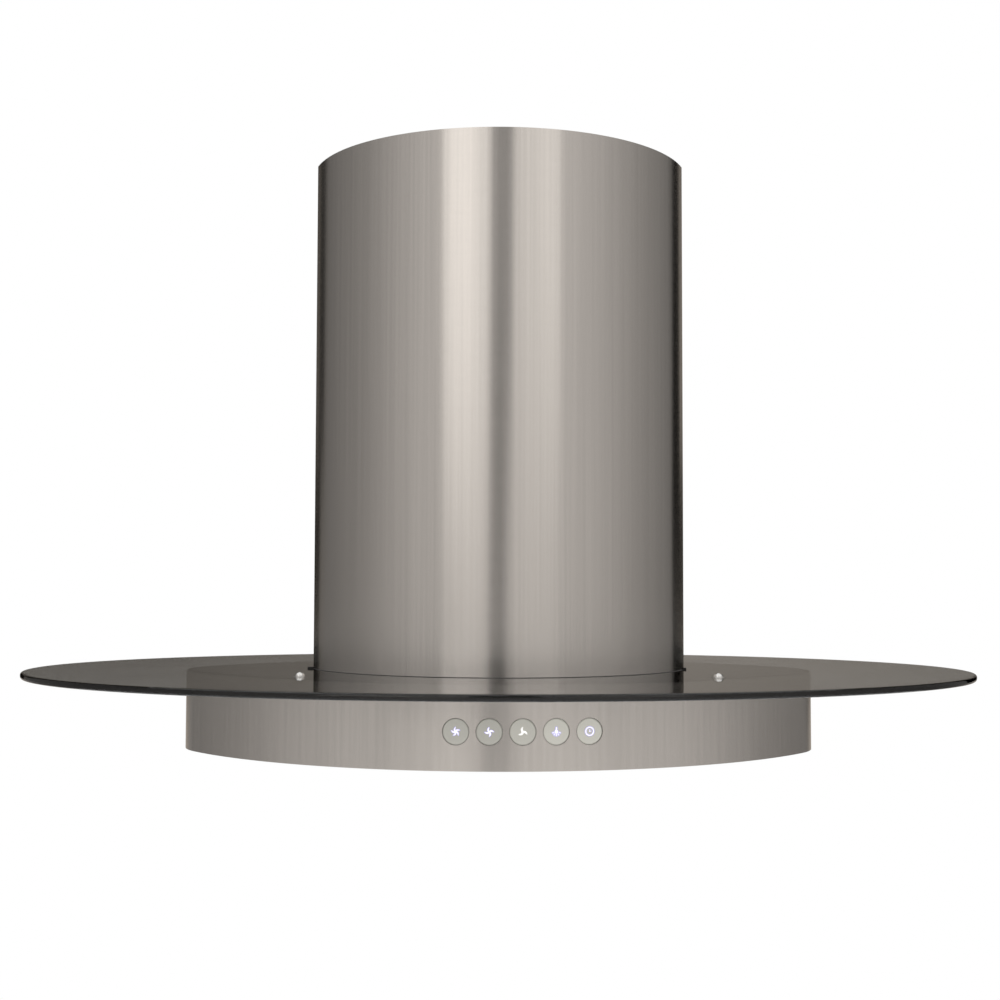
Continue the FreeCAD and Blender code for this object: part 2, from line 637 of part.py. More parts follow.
def frame_screws():
    screws = []
    shank = post_sheet + body_sheet + screw_tail
    for place, x, y, sx, sy in foot_screw_places():
        screws.append(screw(f"foot_screw_{place}", foot_head_radius, foot_head_height, foot_screw_radius,
                            shank, x, y, deck_top + post_sheet))
    for place, x, y, sx, sy in box_screw_places():
        screws.append(screw(f"box_screw_{place}", foot_head_radius, foot_head_height, foot_screw_radius,
                            box_sheet + body_sheet + screw_tail, x, y, deck_top + box_sheet))
    node(group("frame_screws_group", *screws), "frame_screws")


# ---------------------------------------------------------------- chimney covers

def cover_shell(name, inset, side, low, height):
    shell = cut(name + "_ring", lens(name + "_outer", inset, low, height),
                lens(name + "_inner", inset + cover_sheet, low - 1, height + 2))
    return overlap(name + "_half", shell, half_space(name + "_side", side, low - 1, height + 2))


def chimney_covers():
    low = glass_top + seal_thickness
    upper_low = glass_top + upper_cover_lift
    for side, word in ((-1, "front"), (1, "back")):
        node(cover_shell(f"chimney_{word}_shape", 0, side, low, chimney_height), f"chimney_{word}")
        node(cover_shell(f"upper_{word}_shape", cover_sheet + cover_gap, side, upper_low,
                         -rim_gap - upper_low), f"upper_chimney_{word}")


def upper_brackets():
    """Curved angles that hang the upper covers from the ceiling plate."""
    inset = cover_sheet * 2 + cover_gap + sheet_play
    drop = post_leg
    width = post_leg * 2
    ring = cut("upper_bracket_ring", lens("upper_bracket_outer", inset, -plate_thickness - drop, drop),
               lens("upper_bracket_inner", inset + body_sheet, -plate_thickness - drop - 1, drop + 2))
    ledge = cut("upper_bracket_ledge",
                lens("upper_ledge_outer", inset, -plate_thickness - body_sheet, body_sheet),
                lens("upper_ledge_inner", inset + post_leg / 2, -plate_thickness - body_sheet - 1,
                     body_sheet + 2))
    angle = fuse("upper_bracket_angle", ring, ledge)
    strip = block("upper_bracket_strip", -width / 2, -WIDE / 2, -plate_thickness - drop - 1,
                  width, WIDE, drop + 2)
    node(overlap("upper_brackets_cut", angle, strip), "upper_chimney_brackets")


def chimney_seal():
    """Thin seal under the covers, with a raised tab outside each side seam."""
    base = lens("seal_outer", 0, glass_top, seal_thickness)
    tabs = []
    for side, reach, word in ((-1, seal_tab_left, "left"), (1, seal_tab_right, "right")):
        tabs.append(block(f"seal_tongue_{word}", from_to(side, arc_half - seal_inside, arc_half + reach),
                          -(seal_tab_width / 2), glass_top, seal_inside + reach, seal_tab_width,
                          seal_thickness))
        tabs.append(block(f"seal_tab_{word}", from_to(side, arc_half + seal_tab_play, arc_half + reach),
                          -(seal_tab_width / 2), glass_top, reach - seal_tab_play, seal_tab_width,
                          seal_tab_height))
    inner = lens("seal_inner", seal_inside, glass_top - 1, seal_thickness + 2)
    node(cut("chimney_seal_cut", fuse("seal_blank", base, *tabs), inner), "chimney_seal")


def chimney_brackets():
    """Angles between the blower box and the lower covers, under the upper covers."""
    low = glass_top + seal_thickness
    height = upper_cover_lift - seal_thickness - 3
    width = post_leg * 2
    ring = cut("tie_ring", lens("tie_outer", cover_sheet, low, body_sheet),
               lens("tie_inner", box_inset, low - 1, body_sheet + 2))
    outer = cut("tie_out_leg", lens("tie_out_outer", cover_sheet, low, height),
                lens("tie_out_inner", cover_sheet + body_sheet, low - 1, height + 2))
    inner = cut("tie_in_leg", lens("tie_in_outer", box_inset - body_sheet, low, height),
                lens("tie_in_inner", box_inset, low - 1, height + 2))
    strip = block("tie_strip", -width / 2, -WIDE / 2, low - 1, width, WIDE, height + 2)
    node(overlap("tie_cut", fuse("tie_angle", ring, outer, inner), strip), "chimney_brackets")


# ---------------------------------------------------------------- glass

def glass_screw_places():
    """The front pair sits a little to the right, the back pair in the middle."""
    return [(place, x + glass_screw_shift if sy < 0 else x, y)
            for place, x, y, sx, sy in corners_of(glass_screw_x, glass_screw_y)]


def glass_canopy():
    blank = oval("glass_blank", glass_width / 2, glass_depth / 2, glass_bottom, glass_thickness)
    DOC.recompute()
    ground = DOC.addObject("Part::Fillet", "glass_ground")
    ground.Base = blank
    radius = glass_edge_round.value
    rims = [number + 1 for number, edge in enumerate(blank.Shape.Edges)
            if edge.Length > glass_width.value]
    ground.Edges = [(number, radius, radius) for number in rims]
    tools = [lens("glass_cut_out", glass_cut_inset, glass_bottom - 1, glass_thickness + 2)]
    for place, x, y in glass_screw_places():
        tools.append(rod(f"glass_hole_{place}", glass_screw_radius + glass_hole_margin,
                         glass_thickness + 2, x, y, glass_bottom - 1))
    node(cut("glass_cut", ground, *tools), "glass_canopy")


def glass_fixings():
    screws = []
    washers = []
    shank = glass_thickness + glass_bottom - deck_bottom + screw_tail
    for place, x, y in glass_screw_places():
        dome = [(0, -shank), (glass_screw_radius, -shank), (glass_screw_radius, 0), (glass_head_radius, 0),
                (glass_head_radius, glass_head_height * 0.1),
                (glass_head_radius * 0.8, glass_head_height * 0.22),
                (glass_head_radius * 0.76, glass_head_height * 0.45),
                (glass_head_radius * 0.6, glass_head_height * 0.78),
                (glass_head_radius * 0.34, glass_head_height * 0.96), (0, glass_head_height)]
        screws.append(turned(f"glass_screw_{place}", dome, x, y, glass_top))
        ring = [(glass_screw_radius + sheet_play, 0), (glass_washer_radius, 0),
                (glass_washer_radius, glass_bottom - deck_top),
                (glass_screw_radius + sheet_play, glass_bottom - deck_top)]
        washers.append(turned(f"glass_washer_{place}", ring, x, y, deck_top))
    node(group("glass_screws_group", *screws), "glass_screws")
    node(group("glass_washers_group", *washers), "glass_washers")


def glass_pad():
    ring = cut("pad_ring", body_oval("pad_outer", pad_inset, band_top, pad_thickness),
               body_oval("pad_inner", pad_inset + pad_width, band_top - 1, pad_thickness + 2))
    node(ring, "glass_pad")


# ---------------------------------------------------------------- oval body

def button_places():
    """Name, place on the band's face and inward turn of each button."""
    places = []
    for index, name in enumerate(BUTTON_NAMES):
        x = button_group_x + button_pitch * (index - (len(BUTTON_NAMES) - 1) / 2)
        y = body_shift - root(body_radius * body_radius - x * x)
        inward = FreeCAD.Vector(-x.value, body_shift.value - y.value, 0)
        turn = FreeCAD.Rotation(FreeCAD.Vector(0, 0, 1), inward)
        places.append((name, x, y, band_top - button_drop, turn))
    return places


def channel(name):
    """The band with its bent-in lips at the top and the bottom."""
    blank = body_oval(name + "_blank", 0, band_bottom, fascia_height)
    hollow = body_oval(name + "_hollow", body_sheet, band_bottom + body_sheet,
                       fascia_height - body_sheet * 2)
    below = body_oval(name + "_below", lip_width, band_bottom - 1, body_sheet + 2)
    above = body_oval(name + "_above", top_lip_width, band_top - body_sheet - 1, body_sheet + 2)
    return cut(name + "_channel", blank, hollow, below, above)


def fascias():
    for side, word in ((-1, "front"), (1, "back")):
        name = f"fascia_{word}"
        half = overlap(name + "_half", channel(name), half_space(name + "_side", side, band_bottom - 1,
                                                                 fascia_height + 2))
        holes = []
        for number, x, y in tray_screw_places(side):
            holes.append(rod(f"{name}_lip_hole_{number}", tray_screw_radius, body_sheet * 3, x, y,
                             band_bottom - body_sheet))
        if side < 0:
            for label, x, y, z, turn in button_places():
                at_x, at_y = shifted(x, y, turn, -lip_width)
                holes.append(rod(f"{label}_hole", button_hole_radius, lip_width * 2, at_x, at_y, z, turn))
        node(cut(name + "_drilled", half, *holes), name)


def top_deck():
    sheet = body_oval("deck_sheet", body_sheet + sheet_play, deck_bottom, body_sheet)
    opening = overlap("deck_opening", lens("deck_opening_arc", box_inset + air_hole_inset,
                                           deck_bottom - 1, body_sheet + 2),
                      block("deck_opening_strip", -(box_half_width - air_hole_inset), -WIDE / 2,
                            deck_bottom - 1, 2 * (box_half_width - air_hole_inset), WIDE, body_sheet + 2))
    tools = [opening]
    drillings = (("deck_glass", glass_screw_places(), glass_screw_radius),
                 ("deck_foot", foot_screw_places(), foot_screw_radius),
                 ("deck_box", box_screw_places(), foot_screw_radius))
    for word, places, radius in drillings:
        for place, x, y, *signs in places:
            tools.append(rod(f"{word}_{place}", radius, body_sheet + 2, x, y, deck_bottom - 1))
    node(cut("deck_cut", sheet, *tools), "top_deck")


def tray_screw_places(side):
    """Three rivets per side: number and place on the middle of the lower lip."""
    reach = body_radius - lip_width / 2 - body_sheet / 2
    places = []
    for number, x in enumerate((tray_screw_x, as_size(0), -tray_screw_x)):
        places.append((number, x, side * (root(reach * reach - x * x) - body_shift)))
    return places


def bottom_tray():
    sheet = body_oval("tray_sheet", body_sheet + sheet_play, tray_bottom, body_sheet)
    tools = []
    for side, word in ((-1, "front"), (1, "back")):
        for number, x, y in tray_screw_places(side):
            tools.append(rod(f"tray_hole_{word}_{number}", tray_screw_radius, body_sheet * 3, x, y,
                             tray_bottom - body_sheet))
    for side, word in ((-1, "left"), (1, "right")):
        tools.append(block(f"tray_filter_{word}", side * filter_x - filter_width / 2, -(filter_length / 2),
                           tray_bottom - 1, filter_width, filter_length, body_sheet + 2))
        tools.append(rod(f"tray_lamp_{word}", lamp_hole_radius, body_sheet + 2, side * lamp_x, 0,
                         tray_bottom - 1))
    node(cut("tray_cut", sheet, *tools), "bottom_tray")


def tray_screws():
    """Rivets through the tray and the lower lip, flush underneath."""
    screws = []
    for side, word in ((-1, "front"), (1, "back")):
        for number, x, y in tray_screw_places(side):
            screws.append(screw(f"tray_screw_{word}_{number}", tray_screw_radius * 2, tray_screw_radius,
                                tray_screw_radius, body_sheet * 2, x, y, tray_top))
    node(group("tray_screws_group", *screws), "tray_screws")


# ---------------------------------------------------------------- blower

def blower_box():
    outer = overlap("box_outer", lens("box_outer_arc", box_inset, deck_top, box_height),
                    block("box_outer_strip", -box_half_width, -WIDE / 2, deck_top,
                          box_half_width * 2, WIDE, box_height))
    inner = overlap("box_inner", lens("box_inner_arc", box_inset + box_sheet, deck_top - 1,
                                      box_height + 1 - box_sheet),
                    block("box_inner_strip", -(box_half_width - box_sheet), -WIDE / 2, deck_top - 1,
                          2 * (box_half_width - box_sheet), WIDE, box_height + 1 - box_sheet))
    feet = block("box_feet", -(box_half_width + box_flange), -(box_flange_length / 2), deck_top,
                 2 * (box_half_width + box_flange), box_flange_length, box_sheet)
    throat = block("box_throat", -(scroll_width / 2 - box_sheet), throat_low() + box_sheet,
                   box_top - 2 * box_sheet, scroll_width - 2 * box_sheet,
                   throat_depth - 2 * box_sheet, box_sheet * 3)
    tools = [inner, throat]
    for place, x, y, sx, sy in box_screw_places():
        tools.append(rod(f"box_foot_hole_{place}", foot_screw_radius, box_sheet + 2, x, y, deck_top - 1))
    node(cut("box_cut", fuse("box_blank", outer, feet), *tools), "blower_box")


def throat_low():
    """Front wall of the scroll's outlet throat; its back wall is tangent to the scroll."""
    return scroll_y + scroll_radius - throat_depth


def scroll_form(name, inset, half_width, top):
    drum = rod(name + "_drum", scroll_radius - inset, half_width * 2, -half_width, scroll_y, scroll_z, "x")
    throat = block(name + "_throat", -half_width, throat_low() + inset, scroll_z, half_width * 2,
                   throat_depth - inset * 2, top - scroll_z)
    return fuse(name, drum, throat)


def scroll():
    half = scroll_width / 2
    inside = box_top - box_sheet
    band = cut("scroll_band_cut", scroll_form("scroll_band_outer", 0, half - box_sheet, inside),
               scroll_form("scroll_band_inner", box_sheet, half + 1, inside + 1))
    node(band, "scroll_band")
    for side, word in ((-1, "left"), (1, "right")):
        name = f"scroll_side_{word}"
        slab = block(name + "_slab", from_to(side, half - box_sheet, half), -WIDE / 2,
                     scroll_z - WIDE / 2, box_sheet, WIDE, WIDE)
        plate = overlap(name + "_plate", scroll_form(name + "_form", 0, half, inside), slab)
        hole = rod(name + "_hole", inlet_radius, box_sheet * 3,
                   from_to(side, half - 2 * box_sheet, half + box_sheet), scroll_y, scroll_z, "x")
        node(cut(name + "_cut", plate, hole), name)


def inlet_rings():
    rings = []
    lip = [(inlet_radius, 0), (inlet_radius + inlet_ring_width, 0),
           (inlet_radius + inlet_ring_width, box_sheet),
           (inlet_radius + inlet_ring_width * 0.45, inlet_ring_height * 0.45),
           (inlet_radius + inlet_ring_width * 0.3, inlet_ring_height), (inlet_radius, inlet_ring_height)]
    for side, word in ((-1, "left"), (1, "right")):
        rings.append(turned(f"inlet_ring_{word}", lip, side * (scroll_width / 2), scroll_y, scroll_z,
                            "x" if side > 0 else "-x"))
    node(group("inlet_rings_group", *rings), "inlet_rings")


def impeller():
    """Squirrel-cage impeller: a disc with its hub, two end rings and a row of blades to each ring."""
    across = impeller_width / 2
    row = across - hub_disc / 2 - hub_disc
    inner = impeller_radius - blade_depth
    hub = [(shaft_radius, -(hub_length / 2)), (hub_radius, -(hub_length / 2)), (hub_radius, -(hub_disc / 2)),
           (impeller_radius, -(hub_disc / 2)), (impeller_radius, hub_disc / 2), (hub_radius, hub_disc / 2),
           (hub_radius, hub_length / 2), (shaft_radius, hub_length / 2)]
    pieces = [turned("impeller_disc", hub, 0, scroll_y, scroll_z, "x")]
    ring = [(inner, 0), (impeller_radius, 0), (impeller_radius, hub_disc), (inner, hub_disc)]
    for side, word in ((-1, "left"), (1, "right")):
        pieces.append(turned(f"impeller_ring_{word}", ring, from_to(side, across - hub_disc, across),
                             scroll_y, scroll_z, "x"))
        pieces.append(blade_row(word, from_to(side, hub_disc / 2, hub_disc / 2 + row), row, inner))
    node(group("impeller_group", *pieces), "impeller")


def blade_row(word, start, length, inner):
    """Slanted blades between the disc and one end ring."""
    body = DOC.addObject("PartDesign::Body", f"blades_{word}_body")
    body.AllowCompound = True
    outline = plane_sketch(body, f"blade_{word}_outline", "YZ_Plane")
    tip = impeller_radius - blade_edge
    heel = -(blade_depth * blade_heel_share)
    toe = blade_depth * blade_toe_share
    closed_outline(outline, [(inner, heel), (tip, toe), (tip, toe + blade_sheet),
                             (inner, heel + blade_sheet)])
    first = body.newObject("PartDesign::Pad", f"blade_{word}")
    first.Profile = outline
    bind(first, "Length", length)
    body.Tip = first
    row = body.newObject("PartDesign::PolarPattern", f"blades_{word}_row")
    row.Originals = [first]
    axis = [item for item in body.Origin.OriginFeatures if item.Role == "X_Axis"][0]
    row.Axis = (axis, [""])
    row.Angle = 360
    bind(row, "Occurrences", blade_count)
    body.Tip = row
    return put(body, start, scroll_y, scroll_z)


def circles(sketch, *radii):
    for index, radius in enumerate(radii):
        sketch.addGeometry(Part.Circle(FreeCAD.Vector(), FreeCAD.Vector(0, 0, 1), radius.value), False)
        sketch.addConstraint(Sketcher.Constraint("Coincident", index, 3, -1, 1))
        number = sketch.addConstraint(Sketcher.Constraint("Radius", index, radius.value))
        bind(sketch, f"Constraints[{number}]", radius)


def pad(body, name, sketch, length):
    """Pad that grows evenly to both sides of its sketch."""
    item = body.newObject("PartDesign::Pad", name)
    item.Profile = sketch
    bind(item, "Length", length)
    item.Midplane = True
    body.Tip = item
    return item


def motor():
    """Motor in the left inlet, with its shaft through the impeller's hub."""
    front = -(hub_length / 2) - motor_gap
    back = front - motor_length
    can = [(bearing_radius, 0), (motor_radius - 3, 0), (motor_radius, 3), (motor_radius, motor_length - 3),
           (motor_radius - 3, motor_length), (bearing_radius, motor_length),
           (bearing_radius, motor_length - bearing_width), (motor_bore, motor_length - bearing_width),
           (motor_bore, bearing_width), (bearing_radius, bearing_width)]
    node(turned("motor_can_body", can, back, scroll_y, scroll_z, "x"), "motor_can")
    bearing = [(shaft_radius + running_fit, 0), (bearing_radius, 0), (bearing_radius, bearing_width),
               (shaft_radius + running_fit, bearing_width)]
    rings = [turned("bearing_back", bearing, back, scroll_y, scroll_z, "x"),
             turned("bearing_front", bearing, front - bearing_width, scroll_y, scroll_z, "x")]
    node(group("bearings_group", *rings), "motor_bearings")
    shaft_start = back + 1
    node(rod("shaft_rod", shaft_radius, hub_length / 2 - shaft_start + 2, shaft_start, scroll_y, scroll_z,
             "x"), "motor_shaft")
    plate = rod("bracket_plate", motor_radius - 3, bracket_sheet, back - bracket_sheet, scroll_y, scroll_z,
                "x")
    arms = []
    mounts = []
    mount_end = scroll_width / 2
    for angle in (90, 210, 330):
        turn = FreeCAD.Rotation(FreeCAD.Vector(1, 0, 0), angle)
        side = turn.multVec(FreeCAD.Vector(0, -bracket_arm.value / 2, 0))
        arm = DOC.addObject("Part::Box", f"bracket_arm_{angle}")
        bind(arm, "Length", bracket_sheet)
        bind(arm, "Width", bracket_arm)
        bind(arm, "Height", mount_circle + bracket_arm / 2)
        put(arm, back - bracket_sheet, scroll_y + side.y, scroll_z + side.z, turn)
        arms.append(arm)
        out = turn.multVec(FreeCAD.Vector(0, 0, 1))
        mounts.append(rod(f"rubber_mount_{angle}", mount_radius, -mount_end - back,
                          back, scroll_y + mount_circle * out.y, scroll_z + mount_circle * out.z, "x"))
    hole = rod("bracket_hole", bearing_radius - 2, bracket_sheet * 3, back - 2 * bracket_sheet, scroll_y,
               scroll_z, "x")
    node(cut("bracket_cut", fuse("bracket_star", plate, *arms), hole), "motor_bracket")
    node(group("mounts_group", *mounts), "motor_mounts")


# ---------------------------------------------------------------- outlet

def outlet_collar():
    inner = collar_radius - collar_sheet
    section = [(inner, 0), (collar_radius + collar_flange, 0), (collar_radius + collar_flange, collar_sheet),
               (collar_radius, collar_sheet), (collar_radius, collar_height), (inner, collar_height)]
    tube = turned("collar_tube", section, 0, 0, box_top)
    holes = []
    for side, word in ((-1, "left"), (1, "right")):
        holes.append(rod(f"collar_pin_hole_{word}", damper_pin_radius, collar_radius * 4,
                         side * damper_pin_x, -(collar_radius * 2), box_top + damper_lift, "y"))
    node(cut("collar_cut", tube, *holes), "outlet_collar")


def damper_pins():
    pins = []
    reach = collar_radius - 0.4
    for side, word in ((-1, "left"), (1, "right")):
        pins.append(rod(f"damper_pin_{word}", damper_pin_radius, reach * 2, side * damper_pin_x, -reach,
                        box_top + damper_lift, "y"))
    node(group("damper_pins_group", *pins), "damper_pins")


def damper_flaps():
    level = box_top + damper_lift
    radius = collar_radius - collar_sheet - damper_play
    for side, word in ((-1, "left"), (1, "right")):
        name = f"damper_flap_{word}"
        edge = damper_pin_x + damper_pin_radius + 1
        disc = rod(name + "_disc", radius, flap_sheet, 0, 0, level - flap_sheet / 2)
        near = block(name + "_near", from_to(side, edge, edge + WIDE), -WIDE / 2, level - WIDE / 2,
                     WIDE, WIDE, WIDE)
        knuckle = rod(name + "_knuckle", knuckle_radius, knuckle_length, side * damper_pin_x,
                      -(knuckle_length / 2), level, "y")
        bore = rod(name + "_bore", damper_pin_radius + running_fit, collar_radius * 4,
                   side * damper_pin_x, -(collar_radius * 2), level, "y")
        leaf = overlap(name + "_leaf", disc, near)
        node(cut(name + "_cut", fuse(name + "_blank", leaf, knuckle), bore), name)


# ---------------------------------------------------------------- electrical parts

def terminal_box():
    start = box_half_width
    low = box_top - terminal_drop - terminal_height
    outer = block("terminal_outer", start, -(terminal_width / 2), low, terminal_depth, terminal_width,
                  terminal_height)
    inner = block("terminal_inner", start + terminal_wall, -(terminal_width / 2) + terminal_wall,
                  low + terminal_wall, terminal_depth, terminal_width - terminal_wall * 2,
                  terminal_height - terminal_wall * 2)
    entry = rod("terminal_entry", gland_bore, terminal_wall * 3, start + terminal_depth / 2, 0,
                low + terminal_height - 2 * terminal_wall)
    node(cut("terminal_cut", outer, inner, entry), "terminal_box")
    node(block("terminal_lid_plate", start + terminal_depth, -(terminal_width / 2), low, terminal_wall,
               terminal_width, terminal_height), "terminal_box_lid")
    section = [(gland_bore, 0), (gland_radius * 1.2, 0), (gland_radius * 1.2, gland_height * 0.3),
               (gland_radius, gland_height * 0.3), (gland_radius, gland_height * 0.8),
               (gland_radius * 0.75, gland_height), (gland_bore, gland_height)]
    node(turned("gland_body", section, start + terminal_depth / 2, 0, low + terminal_height), "cable_gland")


def capacitor():
    x = -(box_half_width + clamp_sheet + capacitor_radius)
    low = box_top - terminal_drop - terminal_height
    can = [(0, 0), (capacitor_radius - 1, 0), (capacitor_radius, 1), (capacitor_radius, capacitor_length - 2),
           (capacitor_radius - 2, capacitor_length), (0, capacitor_length)]
    node(turned("capacitor_can", can, x, 0, low), "capacitor")
    ring_low = low + capacitor_length / 2 - clamp_width / 2
    ring = rod("clamp_outer", capacitor_radius + clamp_sheet, clamp_width, x, 0, ring_low)
    ear = block("clamp_ear", -(box_half_width + clamp_sheet), -(capacitor_radius + 8), ring_low,
                clamp_sheet, (capacitor_radius + 8) * 2, clamp_width)
    bore = rod("clamp_bore", capacitor_radius, clamp_width + 2, x, 0, ring_low - 1)
    node(cut("clamp_cut", fuse("clamp_blank", ring, ear), bore), "capacitor_clamp")


def led_driver():
    node(block("driver_case", driver_x - driver_length / 2, driver_y - driver_width / 2, tray_top,
               driver_length, driver_width, driver_height), "lamp_driver")


# ---------------------------------------------------------------- lamps

def lamps():
    bezels = []
    lenses = []
    housings = []
    inner = lens_radius - bezel_lip
    body = lamp_hole_radius - lamp_play
    for side, word in ((-1, "left"), (1, "right")):
        x = side * lamp_x
        ring = [(inner, -bezel_sheet), (bezel_radius - bezel_bevel, -bezel_sheet),
                (bezel_radius, bezel_bevel - bezel_sheet), (bezel_radius, 0), (body, 0),
                (body, body_sheet), (lens_radius, body_sheet), (lens_radius, 0), (inner, 0)]
        bezels.append(turned(f"lamp_bezel_{word}", ring, x, 0, tray_bottom))
        lenses.append(rod(f"lamp_lens_{word}", lens_radius - sheet_play, lens_thickness, x, 0, tray_bottom))
        low = body_sheet
        cup = [(lens_radius, low), (body, low), (body, lamp_height), (0, lamp_height),
               (0, lamp_height - lamp_wall), (body - lamp_wall, lamp_height - lamp_wall),
               (body - lamp_wall, lens_thickness), (lens_radius, lens_thickness)]
        housings.append(turned(f"lamp_housing_{word}", cup, x, 0, tray_bottom))
    node(group("bezels_group", *bezels), "lamp_bezels")
    node(group("lenses_group", *lenses), "lamp_lenses")
    node(group("housings_group", *housings), "lamp_housings")


# ---------------------------------------------------------------- grease filters

def filter_frame(side, word):
    name = f"filter_frame_{word}"
    middle = side * filter_x
    width = filter_width - filter_play * 2
    length = filter_length - filter_play * 2
    outer = block(name + "_outer", middle - width / 2, -(length / 2), tray_bottom, width, length,
                  filter_thickness)
    window = block(name + "_window", middle - width / 2 + filter_border, -(length / 2) + filter_border,
                   tray_bottom - 1, width - filter_border * 2, length - filter_border * 2,
                   filter_thickness + 2)
    groove = block(name + "_groove", middle - width / 2 + groove_inset, -(length / 2) + groove_inset,
                   tray_bottom + mesh_lift, width - groove_inset * 2, length - groove_inset * 2,
                   mesh_thickness)
    rail_low = tray_bottom + mesh_lift + mesh_thickness
    rail = block(name + "_rail", middle - width / 2 + filter_border / 2, rail_y - rail_width / 2, rail_low,
                 width - filter_border, rail_width, tray_bottom + filter_thickness - rail_low)
    tabs = []
    for hand, at in (("a", -filter_tab_x), ("b", filter_tab_x)):
        tabs.append(block(f"{name}_hook_{hand}", middle + at - filter_tab_width / 2, length / 2 - 1,
                          tray_top + filter_tab_lift, filter_tab_width, filter_tab_length + 1,
                          filter_tab_sheet))
    border = cut(name + "_border", outer, window, groove)
    node(fuse(name + "_set", border, rail, *tabs), name)


def filter_mesh(side, word):
    """Slotted mesh panel of a filter, with the ears of its handle."""
    name = f"filter_mesh_{word}"
    middle = side * filter_x
    inset = filter_play + groove_inset + mesh_play
    width = filter_width - inset * 2
    length = filter_length - inset * 2
    body = DOC.addObject("PartDesign::Body", name + "_body")
    sheet = plane_sketch(body, name + "_outline", "XY_Plane")
    closed_outline(sheet, [(-(width / 2), -(length / 2)), (width / 2, -(length / 2)),
                           (width / 2, length / 2), (-(width / 2), length / 2)])
    pad(body, name + "_sheet", sheet, mesh_thickness - mesh_play)
    step = mesh_slot + mesh_web
    first = -(step * (mesh_slots - 1) / 2)
    slot_half = width / 2 - filter_border
    slot = plane_sketch(body, name + "_slot_outline", "XY_Plane")
    closed_outline(slot, [(-slot_half, first - mesh_slot / 2), (slot_half, first - mesh_slot / 2),
                          (slot_half, first + mesh_slot / 2), (-slot_half, first + mesh_slot / 2)])
    pocket = body.newObject("PartDesign::Pocket", name + "_slot")
    pocket.Profile = slot
    bind(pocket, "Length", mesh_thickness * 3)
    pocket.Midplane = True
    body.Tip = pocket
    row = body.newObject("PartDesign::LinearPattern", name + "_slots")
    row.Originals = [pocket]
    axis = [item for item in body.Origin.OriginFeatures if item.Role == "Y_Axis"][0]
    row.Direction = (axis, [""])
    bind(row, "Length", step * (mesh_slots - 1))
    bind(row, "Occurrences", mesh_slots)
    body.Tip = row
    put(body, middle, 0, tray_bottom + mesh_lift + mesh_thickness / 2)
    handle_z = tray_bottom + handle_lift
    ears = []
    for hand, sign in (("a", -1), ("b", 1)):
        out = handle_span / 2
        plate = block(f"{name}_ear_{hand}", middle + from_to(sign, out, out + ear_sheet),
                      rail_y - rail_width / 2, tray_bottom + ear_lift, ear_sheet, rail_width,
                      mesh_lift + mesh_thickness / 2 - ear_lift)
        hole = rod(f"{name}_ear_hole_{hand}", handle_radius + running_fit, ear_sheet * 3,
                   middle + from_to(sign, out - ear_sheet, out + ear_sheet * 2), rail_y, handle_z, "x")
        ears.append(cut(f"{name}_ear_cut_{hand}", plate, hole))
    node(fuse(name + "_set", body, *ears), name)


def filter_handle(side, word):
    """Wire handle that lies flat under the mesh and swings down."""
    name = f"filter_handle_{word}"
    middle = side * filter_x
    level = tray_bottom + handle_lift
    out = handle_span / 2 - handle_radius - handle_play
    pin = handle_radius + handle_play + ear_sheet - ear_lift
    wires = [rod(name + "_grip", handle_radius, out * 2, middle - out, rail_y + handle_reach, level, "x")]
    for hand, sign in (("a", -1), ("b", 1)):
        x = middle + sign * out
        wires.append(rod(f"{name}_leg_{hand}", handle_radius, handle_reach, x, rail_y, level, "y"))
        wires.append(rod(f"{name}_pin_{hand}", handle_radius, pin, x, rail_y, level,
                         "x" if sign > 0 else "-x"))
        for end, reach in (("near", 0), ("far", handle_reach)):
            ball = DOC.addObject("Part::Sphere", f"{name}_{end}_{hand}")
            bind(ball, "Radius", handle_radius)
            wires.append(put(ball, x, rail_y + reach, level))
    node(fuse(name + "_wire", *wires), name)


def filter_catches():
    catches = []
    face = -(filter_length / 2) - sheet_play
    for side, word in ((-1, "left"), (1, "right")):
        for hand, at in (("a", -catch_x), ("b", catch_x)):
            name = f"catch_{word}_{hand}"
            x = side * filter_x + at - catch_width / 2
            leaf = block(name + "_leaf", x, face - catch_sheet, tray_top, catch_width, catch_sheet,
                         catch_height)
            foot = block(name + "_foot", x, face - catch_foot, tray_top, catch_width, catch_foot, catch_sheet)
            catches.append(fuse(name, leaf, foot))
    node(group("catches_group", *catches), "filter_catches")


def filters():
    for side, word in ((-1, "left"), (1, "right")):
        filter_frame(side, word)
        filter_mesh(side, word)
        filter_handle(side, word)
    filter_catches()


# ---------------------------------------------------------------- buttons

def shifted(x, y, turn, depth):
    """Place that lies depth behind the band's face, along a button's inward axis."""
    inward = turn.multVec(FreeCAD.Vector(0, 0, 1))
    return x + as_size(depth) * inward.x, y + as_size(depth) * inward.y


def buttons():
    cap = button_hole_radius - button_play
    flange = button_hole_radius + button_flange
    flange_low = body_sheet + button_flange_gap
    flange_high = flange_low + button_flange_sheet
    stem_end = switch_start + stem_dip
    section = [(0, button_recess), (cap - 0.5, button_recess), (cap, button_recess + 0.5), (cap, flange_low),
               (flange, flange_low), (flange, flange_high), (cap, flange_high), (cap, button_thickness),
               (stem_radius, button_thickness), (stem_radius, stem_end), (0, stem_end)]
    for label, x, y, z, turn in button_places():
        node(turned(label + "_body", section, x, y, z, turn), label)


